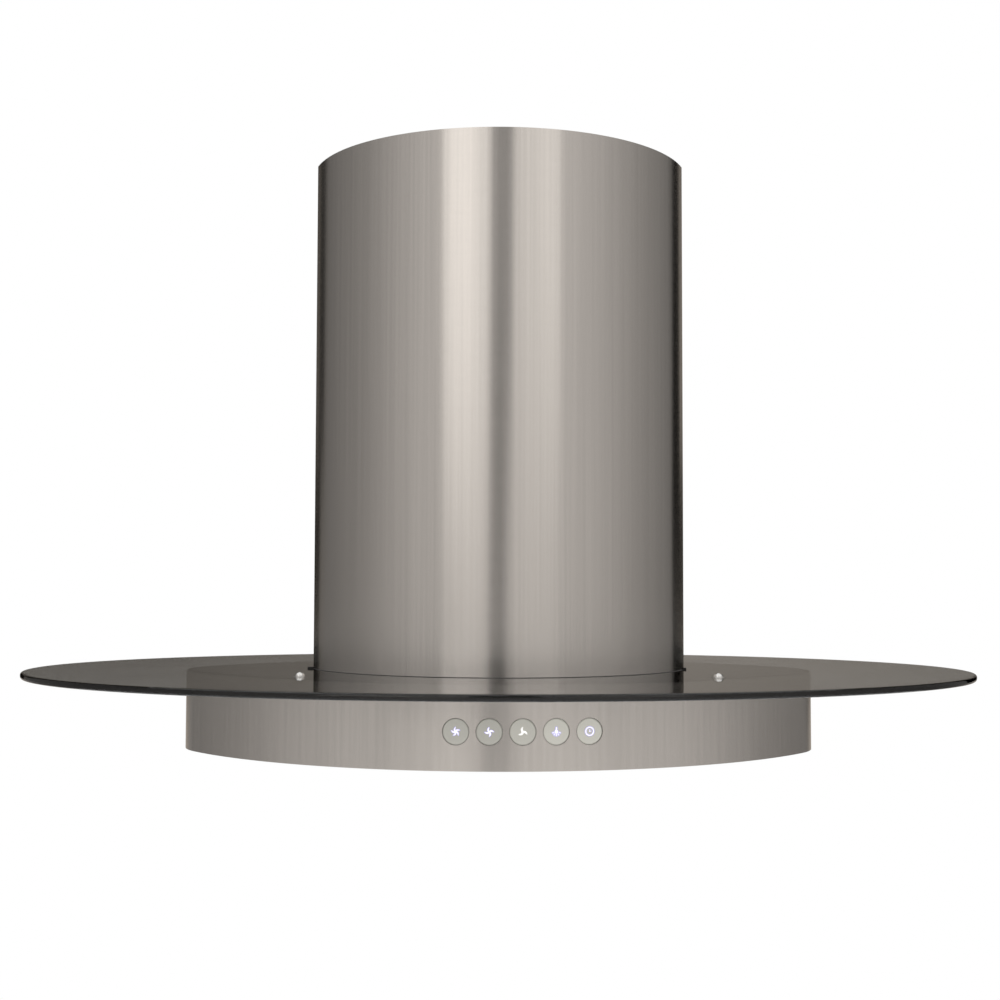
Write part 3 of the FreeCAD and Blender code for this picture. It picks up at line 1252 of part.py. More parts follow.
def curved_strip(name, start, sheet):
    """Upright strip parallel to the band's face, behind the buttons."""
    low = band_top - button_drop - holder_height / 2
    ring = cut(name + "_ring", body_oval(name + "_outer", start, low, holder_height),
               body_oval(name + "_inner", start + sheet, low - 1, holder_height + 2))
    half = button_pitch * (len(BUTTON_NAMES) - 1) / 2 + holder_margin
    window = block(name + "_window", button_group_x - half, -WIDE, low, half * 2, WIDE, holder_height)
    return overlap(name + "_strip", ring, window)


def button_holder():
    holes = []
    for label, x, y, z, turn in button_places():
        at_x, at_y = shifted(x, y, turn, holder_start - 2)
        holes.append(rod(f"{label}_guide", stem_radius + stem_play, holder_sheet + 4, at_x, at_y, z, turn))
    strip = curved_strip("holder", holder_start, holder_sheet)
    ends = []
    half = button_pitch * (len(BUTTON_NAMES) - 1) / 2 + holder_margin
    for side, word in ((-1, "left"), (1, "right")):
        ends.append(cheek(f"holder_{word}", button_group_x + side * (half - holder_sheet / 2)))
    node(cut("holder_cut", fuse("holder_blank", strip, *ends), *holes), "button_holder")


def cheek(name, x):
    """Side wall that ties the holder to the band's back face and to the board."""
    low = band_top - button_drop - holder_height / 2
    depth = switch_start + switch_length - body_sheet - sheet_play
    ring = cut(name + "_ring", body_oval(name + "_outer", body_sheet + sheet_play, low, holder_height),
               body_oval(name + "_inner", body_sheet + sheet_play + depth, low - 1, holder_height + 2))
    window = block(name + "_window", x - holder_sheet / 2, -WIDE, low, holder_sheet, WIDE, holder_height)
    return overlap(name + "_cheek", ring, window)


def switches():
    bodies = []
    for label, x, y, z, turn in button_places():
        at_x, at_y = shifted(x, y, turn, switch_start)
        depth = stem_dip + button_travel + 0.5
        section = [(stem_radius + stem_play, 0), (switch_radius, 0), (switch_radius, switch_length),
                   (0, switch_length), (0, depth), (stem_radius + stem_play, depth)]
        bodies.append(turned(f"{label}_switch", section, at_x, at_y, z, turn))
    node(group("switches_group", *bodies), "button_switches")
    node(curved_strip("board", switch_start + switch_length + board_gap, board_sheet), "control_board")


# ---------------------------------------------------------------- build, check and write

def build():
    ceiling_plate()
    upper_posts()
    post_lock_screws()
    upper_brackets()
    lower_posts()
    frame_screws()
    chimney_covers()
    chimney_seal()
    chimney_brackets()
    glass_canopy()
    glass_fixings()
    glass_pad()
    fascias()
    top_deck()
    bottom_tray()
    tray_screws()
    blower_box()
    scroll()
    inlet_rings()
    impeller()
    motor()
    outlet_collar()
    damper_pins()
    damper_flaps()
    terminal_box()
    capacitor()
    led_driver()
    lamps()
    filters()
    buttons()
    button_holder()
    switches()
    DOC.recompute()


def check():
    for item in DOC.Objects:
        if "Invalid" in item.State or "Error" in item.State:
            raise ValueError(f"{item.Label} could not be built: {item.State}")
    for item in NODES:
        if item.Shape.isNull() or not item.Shape.isValid() or not item.Shape.Solids:
            raise ValueError(f"{item.Label} has no valid shape")


def write():
    os.makedirs("parts", exist_ok=True)
    for item in NODES:
        item.Shape.exportStep(f"parts/{item.Label}.step")
        box = item.Shape.BoundBox
        print(f"{item.Label:24s} solids {len(item.Shape.Solids):2d} volume {item.Shape.Volume:12.1f} "
              f"x {box.XMin:8.2f} {box.XMax:8.2f} y {box.YMin:8.2f} {box.YMax:8.2f} "
              f"z {box.ZMin:8.2f} {box.ZMax:8.2f}")
    print(len(NODES), "nodes")


build()
check()
write()
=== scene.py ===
import json
import math

import bmesh
import bpy
from mathutils import Matrix, Vector


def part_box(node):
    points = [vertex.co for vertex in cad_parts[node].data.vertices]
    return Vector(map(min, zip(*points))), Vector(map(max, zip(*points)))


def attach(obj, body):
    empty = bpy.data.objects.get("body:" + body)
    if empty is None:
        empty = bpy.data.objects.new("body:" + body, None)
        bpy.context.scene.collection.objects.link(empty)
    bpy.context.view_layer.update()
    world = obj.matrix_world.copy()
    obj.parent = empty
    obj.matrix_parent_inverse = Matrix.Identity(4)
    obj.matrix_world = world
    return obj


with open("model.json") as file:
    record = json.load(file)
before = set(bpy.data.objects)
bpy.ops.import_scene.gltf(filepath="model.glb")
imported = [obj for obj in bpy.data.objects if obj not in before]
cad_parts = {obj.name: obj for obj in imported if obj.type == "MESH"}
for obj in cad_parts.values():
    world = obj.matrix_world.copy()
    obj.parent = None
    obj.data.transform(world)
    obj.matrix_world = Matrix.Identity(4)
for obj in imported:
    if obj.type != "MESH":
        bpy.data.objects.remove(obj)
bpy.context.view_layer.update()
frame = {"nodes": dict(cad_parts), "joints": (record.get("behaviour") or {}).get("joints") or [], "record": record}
NODES = frame["nodes"]
MM = 0.001
UP = Vector((0, 0, 1))

# ------------------------------------------------ camera and studio, metres and degrees

CAMERA_PLACE = (0.0008, -1.209, -0.3414)
CAMERA_LENS = 53.1
CAMERA_PITCH = 3.03
CAMERA_ROLL = 0.15
CAMERA_NEAR = 0.05
CAMERA_FAR = 100

WHITE = (1.0, 1.0, 1.0, 1.0)
LAMP_WHITE = (1.0, 0.965, 0.93, 1.0)
AMBIENT_LEVEL = 0.8

FLOOR_LEVEL = -2.4
FLOOR_RADIUS = 6.0
FLOOR_CORNERS = 96
FLOOR_GREY = (0.9, 0.9, 0.9, 1)
FLOOR_SHADOW_START = 2.0
FLOOR_SHADOW_END = 4.5
FLOOR_WHITE_SHARE = 0.55

# Rings of grey card round the object, seen only in its gloss: lower edge, upper edge, and stops of
# direction (degrees from the camera's side, positive to its right) and brightness.
# The cards behind the object are warmer than those in front.
CARD_DISTANCE = 3.2
CARD_STEP = 4.0
BACK_CARD_WHITE = (1.0, 0.9, 0.79, 1.0)
BACK_CARD_START = 125
BACK_CARD_FULL = 145
CARD_RINGS = {
    "low_cards": (-2.35, -0.62, (
        (-180, 0.5), (-160, 0.5), (-140, 0.34), (-117, 0.22), (-92, 0.31), (-66, 0.49), (-45, 0.58),
        (-25, 0.62), (-14, 0.84), (-7, 0.76), (-3, 0.69), (3, 0.69), (8, 0.76), (18, 0.78),
        (36, 0.67), (60, 0.58), (80, 0.41), (92, 0.29), (110, 0.22), (130, 0.23), (143, 0.38),
        (160, 0.5), (180, 0.5))),
    "middle_cards": (-0.62, 0.0, (
        (-180, 0.18), (-172, 0.16), (-167, 0.14), (-163, 0.115), (-151, 0.11), (-151, 0.01),
        (-136.5, 0.01), (-136.5, 0.15), (-117, 0.21), (-85, 0.32), (-45, 0.57), (-34, 0.49),
        (-11, 0.47), (-6.5, 0.42), (-6.5, 0.02), (3.5, 0.02), (3.5, 0.62), (9, 0.62), (20, 0.57),
        (36, 0.54), (45, 0.59), (68, 0.51), (85, 0.41), (126.5, 0.19), (126.5, 0.0), (146, 0.0),
        (146, 0.12), (163, 0.21), (170, 0.24), (180, 0.19))),
    "high_cards": (0.0, 3.0, (
        (-180, 0.18), (-160, 0.12), (-141, 0.1), (-141, 0.02), (-130.5, 0.02), (-130.5, 0.17),
        (-117, 0.21), (-85, 0.32), (-45, 0.59), (-36, 0.6), (-8, 0.44), (-5, 0.4), (3, 0.3),
        (8, 0.26), (8, 0.46), (36, 0.66), (45, 0.63), (85, 0.38), (127.5, 0.2), (127.5, 0.0),
        (141, 0.0), (141, 0.27), (160, 0.24), (180, 0.18))),
}
# Soft boxes beside the camera: name, direction, distance, width, height, middle level, power.
SOFT_BOXES = (
    ("left_box", -19.2, 2.6, 1.3, 2.0, 0.85, 5.6),
    ("left_core", -21.0, 2.5, 0.55, 1.8, 0.95, 0.5),
    ("right_box", 21.7, 2.6, 1.3, 1.9, 0.9, 3.3),
)


# ------------------------------------------------ helpers for objects and node trees

def linked(item):
    bpy.context.scene.collection.objects.link(item)
    return item


def built(name, form):
    """Object made from a bmesh."""
    mesh = bpy.data.meshes.new(name)
    form.to_mesh(mesh)
    form.free()
    return linked(bpy.data.objects.new(name, mesh))


def empty_material(name):
    """Material with nothing but an output; returns the material, its tree and the output."""
    item = bpy.data.materials.new(name)
    item.use_nodes = True
    tree = item.node_tree
    tree.nodes.clear()
    return item, tree, tree.nodes.new("ShaderNodeOutputMaterial")


def coordinates(tree, kind="Object"):
    return tree.nodes.new("ShaderNodeTexCoord").outputs[kind]


def calculated(tree, operation, *values):
    """Result of a sum on linked values."""
    step = tree.nodes.new("ShaderNodeMath")
    step.operation = operation
    for socket, value in zip(step.inputs, values):
        tree.links.new(value, socket)
    return step.outputs[0]


def rescaled(tree, value, old, new, curve="LINEAR"):
    """Value mapped from the old range to the new one and held at its ends."""
    change = tree.nodes.new("ShaderNodeMapRange")
    change.interpolation_type = curve
    for name, limit in zip(("From Min", "From Max", "To Min", "To Max"), (*old, *new)):
        change.inputs[name].default_value = limit
    tree.links.new(value, change.inputs["Value"])
    return change.outputs["Result"]


def axis_size(tree, kind, axis):
    """How large one axis of the given coordinates is, without its sign."""
    split = tree.nodes.new("ShaderNodeSeparateXYZ")
    tree.links.new(coordinates(tree, kind), split.inputs["Vector"])
    return calculated(tree, "ABSOLUTE", split.outputs[axis])


def mixed_shaders(tree, factor, first, second):
    mix = tree.nodes.new("ShaderNodeMixShader")
    for socket, value in zip(mix.inputs, (factor, first, second)):
        tree.links.new(value, socket)
    return mix.outputs[0]


def seen_ray(tree):
    """1 for camera, glossy and transmission rays, else 0."""
    path = tree.nodes.new("ShaderNodeLightPath")
    total = path.outputs["Is Camera Ray"]
    for name in ("Is Glossy Ray", "Is Transmission Ray"):
        total = calculated(tree, "MAXIMUM", total, path.outputs[name])
    return total


# ------------------------------------------------ studio

def place_camera():
    data = bpy.data.cameras.new("camera")
    data.lens = CAMERA_LENS
    data.clip_start = CAMERA_NEAR
    data.clip_end = CAMERA_FAR
    item = linked(bpy.data.objects.new("camera", data))
    tilt = Matrix.Rotation(math.radians(90 + CAMERA_PITCH), 4, "X")
    roll = Matrix.Rotation(math.radians(CAMERA_ROLL), 4, "Z")
    item.matrix_world = Matrix.Translation(CAMERA_PLACE) @ tilt @ roll
    bpy.context.scene.camera = item


def air(tree, strength):
    background = tree.nodes.new("ShaderNodeBackground")
    background.inputs["Color"].default_value = WHITE
    background.inputs["Strength"].default_value = strength
    return background.outputs[0]


def white_world():
    """Soft light from all round, seen as plain white."""
    world = bpy.data.worlds.new("studio_air")
    bpy.context.scene.world = world
    world.use_nodes = True
    tree = world.node_tree
    tree.nodes.clear()
    out = tree.nodes.new("ShaderNodeOutputWorld")
    mix = mixed_shaders(tree, seen_ray(tree), air(tree, AMBIENT_LEVEL), air(tree, 1.0))
    tree.links.new(mix, out.inputs["Surface"])


def floor_paint():
    """Matt grey that takes a shadow in the middle, and white further out."""
    paint, tree, out = empty_material("floor_paint")
    matt = tree.nodes.new("ShaderNodeBsdfDiffuse")
    matt.inputs["Color"].default_value = FLOOR_GREY
    white = tree.nodes.new("ShaderNodeEmission")
    white.inputs["Color"].default_value = WHITE
    length = tree.nodes.new("ShaderNodeVectorMath")
    length.operation = "LENGTH"
    tree.links.new(coordinates(tree), length.inputs[0])
    share = rescaled(tree, length.outputs["Value"], (FLOOR_SHADOW_START, FLOOR_SHADOW_END),
                     (FLOOR_WHITE_SHARE, 1.0), "SMOOTHSTEP")
    factor = calculated(tree, "MULTIPLY", seen_ray(tree), share)
    mix = mixed_shaders(tree, factor, matt.outputs[0], white.outputs[0])
    tree.links.new(mix, out.inputs["Surface"])
    paint.cycles.emission_sampling = "NONE"
    return paint


def pale_floor():
    form = bmesh.new()
    bmesh.ops.create_circle(form, cap_ends=True, segments=FLOOR_CORNERS, radius=FLOOR_RADIUS)
    item = built("floor", form)
    item.location = (0, 0, FLOOR_LEVEL)
    item.data.materials.append(floor_paint())


def ring_place(angle, distance, level):
    """Point round the object: 0 degrees is the camera's side, positive to its right."""
    turn = math.radians(angle)
    return Vector((math.sin(turn) * distance, -math.cos(turn) * distance, level))


def card_ring(name, paper, low_edge, high_edge, stops):
    """Upright ring of card whose brightness runs from stop to stop."""
    form = bmesh.new()
    tone = form.verts.layers.float.new("tone")
    warmth = form.verts.layers.float.new("warmth")
    for (start, start_tone), (end, end_tone) in zip(stops, stops[1:]):
        if start == end:
            continue
        count = max(1, round((end - start) / CARD_STEP))
        pairs = []
        for step in range(count + 1):
            share = step / count
            angle = start + (end - start) * share
            behind = (abs(angle) - BACK_CARD_START) / (BACK_CARD_FULL - BACK_CARD_START)
            pair = [form.verts.new(ring_place(angle, CARD_DISTANCE, level))
                    for level in (low_edge, high_edge)]
            for corner in pair:
                corner[tone] = start_tone + (end_tone - start_tone) * share
                corner[warmth] = min(1.0, max(0.0, behind))
            pairs.append(pair)
        for left, right in zip(pairs, pairs[1:]):
            form.faces.new((left[0], right[0], right[1], left[1]))
    item = built(name, form)
    item.visible_camera = False
    item.visible_diffuse = False
    item.visible_transmission = False
    item.visible_shadow = False
    item.data.materials.append(paper)


def attribute(tree, name):
    item = tree.nodes.new("ShaderNodeAttribute")
    item.attribute_name = name
    return item.outputs["Fac"]


def card_paper():
    """Glowing card that takes its brightness and its warmth from the ring's corners."""
    paper, tree, out = empty_material("card_paper")
    colour = tree.nodes.new("ShaderNodeMix")
    colour.data_type = "RGBA"
    front, back = [socket for socket in colour.inputs if socket.type == "RGBA"]
    front.default_value = LAMP_WHITE
    back.default_value = BACK_CARD_WHITE
    tree.links.new(attribute(tree, "warmth"), colour.inputs[0])
    blend = next(socket for socket in colour.outputs if socket.type == "RGBA")
    glow = tree.nodes.new("ShaderNodeEmission")
    tree.links.new(blend, glow.inputs["Color"])
    tree.links.new(attribute(tree, "tone"), glow.inputs["Strength"])
    tree.links.new(glow.outputs[0], out.inputs["Surface"])
    paper.cycles.emission_sampling = "NONE"
    return paper


def soft_box(name, angle, distance, width, height, level, power):
    data = bpy.data.lights.new(name, "AREA")
    data.shape = "RECTANGLE"
    data.size = width
    data.size_y = height
    data.energy = power
    data.color = LAMP_WHITE[:3]
    item = linked(bpy.data.objects.new(name, data))
    item.location = ring_place(angle, distance, level)
    aim = Vector((0, 0, level)) - item.location
    item.rotation_mode = "QUATERNION"
    item.rotation_quaternion = aim.to_track_quat("-Z", "Y")
    item.visible_camera = False


def studio():
    white_world()
    pale_floor()
    paper = card_paper()
    for name, values in CARD_RINGS.items():
        card_ring(name, paper, *values)
    for values in SOFT_BOXES:
        soft_box(*values)
    place_camera()
    bpy.context.scene.view_settings.view_transform = "Standard"


# ------------------------------------------------ surface helpers

NOISE_MIDDLE = (0.3, 0.7)
BROAD_GRAINS = 18


def new_material(name, colour, metallic, roughness):
    """Material with one Principled shader; returns the material, its tree and the shader."""
    item, tree, out = empty_material(name)
    shader = tree.nodes.new("ShaderNodeBsdfPrincipled")
    shader.inputs["Base Color"].default_value = (*colour, 1)
    shader.inputs["Metallic"].default_value = metallic
    shader.inputs["Roughness"].default_value = roughness
    tree.links.new(shader.outputs["BSDF"], out.inputs["Surface"])
    return item, tree, shader


def stretched(tree, scale):
    """Object coordinates, metres, multiplied per axis."""
    mapping = tree.nodes.new("ShaderNodeMapping")
    mapping.inputs["Scale"].default_value = scale
    tree.links.new(coordinates(tree), mapping.inputs["Vector"])
    return mapping.outputs["Vector"]


def noise(tree, scale, detail=2.0, roughness=0.5):
    """Noise with a scale for each axis."""
    texture = tree.nodes.new("ShaderNodeTexNoise")
    texture.inputs["Scale"].default_value = 1.0
    texture.inputs["Detail"].default_value = detail
    texture.inputs["Roughness"].default_value = roughness
    tree.links.new(stretched(tree, scale), texture.inputs["Vector"])
    return texture.outputs["Fac"]


def even_noise(tree, scale, detail=2.0):
    return noise(tree, (scale, scale, scale), detail)


def spread(tree, value, low, high):
    """Maps the middle of a noise to low..high."""
    return rescaled(tree, value, NOISE_MIDDLE, (low, high))


def varied(tree, value, tone):
    """Maps the middle of a noise to 1, give or take the tone."""
    return spread(tree, value, 1 - tone, 1 + tone)


def shaded(tree, shader, colour, factor):
    """Colour times a factor that varies about 1."""
    scale = tree.nodes.new("ShaderNodeVectorMath")
    scale.operation = "SCALE"
    scale.inputs[0].default_value = colour
    tree.links.new(factor, scale.inputs["Scale"])
    tree.links.new(scale.outputs["Vector"], shader.inputs["Base Color"])


def roughened(tree, shader, value, low, high):
    tree.links.new(spread(tree, value, low, high), shader.inputs["Roughness"])


def bumped(tree, shader, height, distance):
    bump = tree.nodes.new("ShaderNodeBump")
    bump.inputs["Strength"].default_value = 1.0
    bump.inputs["Distance"].default_value = distance
    tree.links.new(height, bump.inputs["Height"])
    tree.links.new(bump.outputs["Normal"], shader.inputs["Normal"])


def glowing(shader, colour, strength):
    shader.inputs["Emission Color"].default_value = (*colour, 1)
    shader.inputs["Emission Strength"].default_value = strength


def grain_direction(tree, shader, axis):
    """The brushed steel scatters light along this axis."""
    along = tree.nodes.new("ShaderNodeCombineXYZ")
    for letter, value in zip("XYZ", axis):
        along.inputs[letter].default_value = value
    tree.links.new(along.outputs[0], shader.inputs["Tangent"])


def speckled(name, colour, metallic, roughness, size, tone=0.06, height=0.02 * MM):
    """Plain moulded, painted or cast surface with a fine grain of the given size in metres."""
    item, tree, shader = new_material(name, colour, metallic, roughness)
    fine = even_noise(tree, 1 / size)
    broad = even_noise(tree, 1 / size / BROAD_GRAINS)
    factor = calculated(tree, "MULTIPLY", varied(tree, fine, tone), varied(tree, broad, tone / 2))
    shaded(tree, shader, colour, factor)
    roughened(tree, shader, broad, roughness - 0.05, roughness + 0.05)
    bumped(tree, shader, fine, height)
    return item


# ------------------------------------------------ steel

STEEL = (0.64, 0.61, 0.58)
COVER_ROUGHNESS = 0.235
TRAY_ROUGHNESS = 0.3
GRAIN_STRETCH = 0.9
GRAIN_ROUGHNESS = 0.03
GRAIN_DEPTH = 0.004 * MM
STREAK_TONE = 0.035
CLOUD_TONE = 0.015
UPRIGHT = (0, 0, 1)
FRONT_TO_BACK = (0, 1, 0)
ROUND_HAIR = (60, 60, 5200)
CROSS_HAIR = (60, 5200, 5200)


def brushed_steel(name, roughness, scatter, streak, hair):
    """Brushed sheet. Streak and hair are the noise scales of its long streaks and its fine grain."""
    item, tree, shader = new_material(name, STEEL, 1.0, roughness)
    shader.inputs["Anisotropic"].default_value = GRAIN_STRETCH
    grain_direction(tree, shader, scatter)
    streaks = varied(tree, noise(tree, streak, 3.0), STREAK_TONE)
    clouds = varied(tree, even_noise(tree, 3.0), CLOUD_TONE)
    shaded(tree, shader, STEEL, calculated(tree, "MULTIPLY", streaks, clouds))
    fine = noise(tree, hair, 4.0, 0.6)
    roughened(tree, shader, fine, roughness - GRAIN_ROUGHNESS, roughness + GRAIN_ROUGHNESS)
    bumped(tree, shader, fine, GRAIN_DEPTH)
    return item


def cover_steel():
    """Chimney sheet: grain round the chimney, so light is drawn out up and down."""
    return brushed_steel("cover_steel", COVER_ROUGHNESS, UPRIGHT, (420, 420, 2.5), ROUND_HAIR)


def band_steel():
    """Band of the body, with the same grain and broader streaks."""
    return brushed_steel("band_steel", COVER_ROUGHNESS, UPRIGHT, (260, 260, 9), ROUND_HAIR)


def sheet_steel():
    """Bottom tray, brushed along the width."""
    return brushed_steel("sheet_steel", TRAY_ROUGHNESS, FRONT_TO_BACK, (9, 260, 260), CROSS_HAIR)


def galvanised():
    """Zinc-coated sheet with its spangle."""
    colour = (0.46, 0.47, 0.48)
    item, tree, shader = new_material("galvanised", colour, 0.85, 0.42)
    cells = tree.nodes.new("ShaderNodeTexVoronoi")
    cells.inputs["Scale"].default_value = 110
    tree.links.new(coordinates(tree), cells.inputs["Vector"])
    grey = tree.nodes.new("ShaderNodeSeparateColor")
    tree.links.new(cells.outputs["Color"], grey.inputs["Color"])
    shaded(tree, shader, colour, varied(tree, grey.outputs["Red"], 0.15))
    roughened(tree, shader, grey.outputs["Green"], 0.36, 0.5)
    bumped(tree, shader, even_noise(tree, 900), 0.008 * MM)
    return item


# ------------------------------------------------ glass, plastic and rubber

GLASS_INDEX = 1.52
GLASS_SHINE = 0.12
GLASS_TINT = (0.5, 0.5, 0.48, 1)
GLASS_TINT_DEPTH = 270
BUTTON_COLOUR = (0.66, 0.645, 0.58)
# Strength of a faint painted glow on the caps.
BUTTON_PAINTED_GLOW = 0.06
# Painted shade on the caps: the span of the normal's front share over which the sides darken, and how dark they
# get.
CAP_SHADE_FADE = (0.35, 0.8)
CAP_SIDE_SHADE = 0.15
SEAL_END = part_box("chimney_front")[1][0]
SEAL_FADE = 4 * MM
SEAL_TAB_TONE = 0.12


def smoked_glass():
    """Polished glass, tinted in its depth, so its edge is nearly black."""
    item, tree, shader = new_material("smoked_glass", (1, 1, 1), 0.0, 0.0)
    shader.inputs["IOR"].default_value = GLASS_INDEX
    shader.inputs["Specular IOR Level"].default_value = GLASS_SHINE
    shader.inputs["Transmission Weight"].default_value = 1.0
    roughened(tree, shader, even_noise(tree, 14, 3.0), 0.0, 0.035)
    tint = tree.nodes.new("ShaderNodeVolumeAbsorption")
    tint.inputs["Color"].default_value = GLASS_TINT
    tint.inputs["Density"].default_value = GLASS_TINT_DEPTH
    out = next(item for item in tree.nodes if item.type == "OUTPUT_MATERIAL")
    tree.links.new(tint.outputs["Volume"], out.inputs["Volume"])
    return item


def lamp_glass():
    """Frosted glass of the lamps, faintly lit."""
    item, tree, shader = new_material("lamp_glass", (0.92, 0.92, 0.88), 0.0, 0.45)
    shader.inputs["Transmission Weight"].default_value = 0.6
    glowing(shader, (1, 0.95, 0.85), 0.15)
    frost = even_noise(tree, 1500, 3.0)
    roughened(tree, shader, frost, 0.35, 0.5)
    bumped(tree, shader, frost, 0.05 * MM)
    return item


def board_lacquer():
    """Circuit board: green lacquer over tracks."""
    green = (0.02, 0.13, 0.05)
    item, tree, shader = new_material("board_lacquer", green, 0.0, 0.3)
    tracks = tree.nodes.new("ShaderNodeTexBrick")
    tracks.inputs["Scale"].default_value = 160
    tracks.inputs["Mortar Size"].default_value = 0.06
    tracks.inputs["Color1"].default_value = (*green, 1)
    tracks.inputs["Color2"].default_value = (0.03, 0.17, 0.07, 1)
    tracks.inputs["Mortar"].default_value = (0.06, 0.26, 0.11, 1)
    tree.links.new(stretched(tree, (1, 1, 1)), tracks.inputs["Vector"])
    tree.links.new(tracks.outputs["Color"], shader.inputs["Base Color"])
    bumped(tree, shader, tracks.outputs["Fac"], 0.03 * MM)
    return item


def plastic_cap_with_painted_light(name, level):
    """Pale moulded cap, with painted shade down its sides and a faint painted glow."""
    colour = tuple(level * share for share in BUTTON_COLOUR)
    item, tree, shader = new_material(name, colour, 0.0, 0.42)
    # Painted shade: the cap darkens where its surface turns away from the front.
    side = rescaled(tree, axis_size(tree, "Normal", "Y"), CAP_SHADE_FADE, (CAP_SIDE_SHADE, 1.0))
    fine = even_noise(tree, 2000)
    shaded(tree, shader, colour, calculated(tree, "MULTIPLY", varied(tree, fine, 0.03), side))
    roughened(tree, shader, fine, 0.38, 0.46)
    bumped(tree, shader, fine, 0.006 * MM)
    # Painted glow: the cap gives off faint light of its own colour.
    glowing(shader, colour, BUTTON_PAINTED_GLOW)
    return item


def deck_painted_shade():
    """Near-black on the deck under the glass: painted shade for the hood's dark inside as seen through the glass,
    with its reflection turned down.
    """
    coat = speckled("deck_painted_shade", (0.014, 0.013, 0.012), 0.0, 0.8, 0.6 * MM)
    shader = next(item for item in coat.node_tree.nodes if item.type == "BSDF_PRINCIPLED")
    shader.inputs["Specular IOR Level"].default_value = 0.05
    return coat


def chimney_seal_rubber():
    """Grey along the chimney's edge and black in its end tabs."""
    colour = (0.11, 0.105, 0.1)
    item, tree, shader = new_material("chimney_seal_rubber", colour, 0.0, 0.6)
    fade = rescaled(tree, axis_size(tree, "Object", "X"), (SEAL_END - SEAL_FADE, SEAL_END),
                    (1.0, SEAL_TAB_TONE))
    fine = even_noise(tree, 2500)
    shaded(tree, shader, colour, calculated(tree, "MULTIPLY", varied(tree, fine, 0.1), fade))
    bumped(tree, shader, fine, 0.02 * MM)
    return item


def lit_sign(name, colour, strength):
    """Print of a button's sign, lit from behind."""
    item, tree, shader = new_material(name, colour, 0.0, 0.4)
    shaded(tree, shader, colour, varied(tree, even_noise(tree, 700), 0.1))
    glowing(shader, colour, strength)
    return item


SLOT_MATERIALS = {
    "smoked_glass": smoked_glass(),
    "cover_steel": cover_steel(),
    "body_steel": band_steel(),
    "galvanised_steel": galvanised(),
    "screw_steel": speckled("bright_steel", (0.78, 0.77, 0.75), 1.0, 0.2, 0.6 * MM,
                            tone=0.03, height=0.004 * MM),
    "seal_rubber": speckled("foam_seal", (0.02, 0.02, 0.02), 0.0, 0.6, 0.4 * MM, tone=0.1),
    "mesh_aluminium": speckled("satin_aluminium", (0.72, 0.72, 0.72), 1.0, 0.32, 0.5 * MM,
                               tone=0.04, height=0.01 * MM),
    "black_plastic": speckled("black_plastic", (0.022, 0.022, 0.024), 0.0, 0.5, 0.5 * MM),
    "grey_plastic": speckled("grey_plastic", (0.3, 0.31, 0.32), 0.0, 0.45, 0.5 * MM),
    "board_green": board_lacquer(),
    "lamp_glass": lamp_glass(),
    "motor_black": speckled("motor_enamel", (0.03, 0.03, 0.032), 0.0, 0.35, 0.8 * MM),
}
NODE_MATERIALS = {
    # The deck gets painted shade: near-black in place of its own finish.
    "top_deck": deck_painted_shade(),
    "bottom_tray": sheet_steel(),
    "chimney_seal": chimney_seal_rubber(),
    # The five caps are one plastic at different levels: painted light and shade for each button.
    "button_fan_high": plastic_cap_with_painted_light("cap_fan_high", 0.96),
    "button_fan_medium": plastic_cap_with_painted_light("cap_fan_medium", 0.93),
    "button_fan_low": plastic_cap_with_painted_light("cap_fan_low", 1.07),
    "button_lamp": plastic_cap_with_painted_light("cap_lamp", 1.22),
    "button_timer": plastic_cap_with_painted_light("cap_timer", 1.22),
}


def finish_nodes():
    """Gives each CAD node the material of its own, or else of its slot."""
    slots = {part["node"]: part["material_slot"] for part in frame["record"]["subparts"]}
    for name, item in NODES.items():
        coat = NODE_MATERIALS.get(name) or SLOT_MATERIALS[slots[name]]
        item.data.materials.clear()
        item.data.materials.append(coat)


# ------------------------------------------------ lit signs on the buttons

SIGN_RADIUS = 3.3 * MM
SIGN_HEIGHT = 0.05 * MM
SIGN_RIM = 0.28 * MM
SIGN_CORE = -0.1 * MM
CORE_HEIGHT = SIGN_HEIGHT * 1.4
FACE_TOLERANCE = 0.02 * MM

# Shares of the sign's radius
FAN_HUB = 0.2
BLADE_START = 0.15
BULB_RADIUS = 0.4
STEM_START = 0.3
STEM_WIDTH = 0.3
RAY_START = 0.5
RAY_END = 0.95
RAY_WIDTH = 0.24
CLOCK_INSIDE = 0.74
HAND_TAIL = 0.08
HAND_UP = 0.42
HAND_ACROSS = 0.36
HAND_WIDTH = 0.12

# Turns: radians that a blade runs back from its tip, and the rays' directions in degrees
BLADE_SWEEP = 0.85
RAY_ANGLES = (-165, -127, -90, -53, -15)

# A blade's width follows a sine from this share of its half wave, over this much of it
BLADE_WAVE_START = 0.18
BLADE_WAVE_LENGTH = 0.74


def button_face_frame(node, joint_name):
    """Centre of a button's face, its right and its inward direction."""
    joint = next(item for item in frame["joints"] if item["name"] == joint_name)
    inward = Vector(joint["axis"]).normalized()
    points = [vertex.co for vertex in NODES[node].data.vertices]
    nearest = min(point.dot(inward) for point in points)
    rim = [point for point in points if point.dot(inward) - nearest < FACE_TOLERANCE]
    low = Vector(min(point[axis] for point in rim) for axis in range(3))
    high = Vector(max(point[axis] for point in rim) for axis in range(3))
    return (low + high) / 2, inward.cross(UP).normalized(), inward


def polar(radius, turn):
    return radius * math.cos(turn), radius * math.sin(turn)


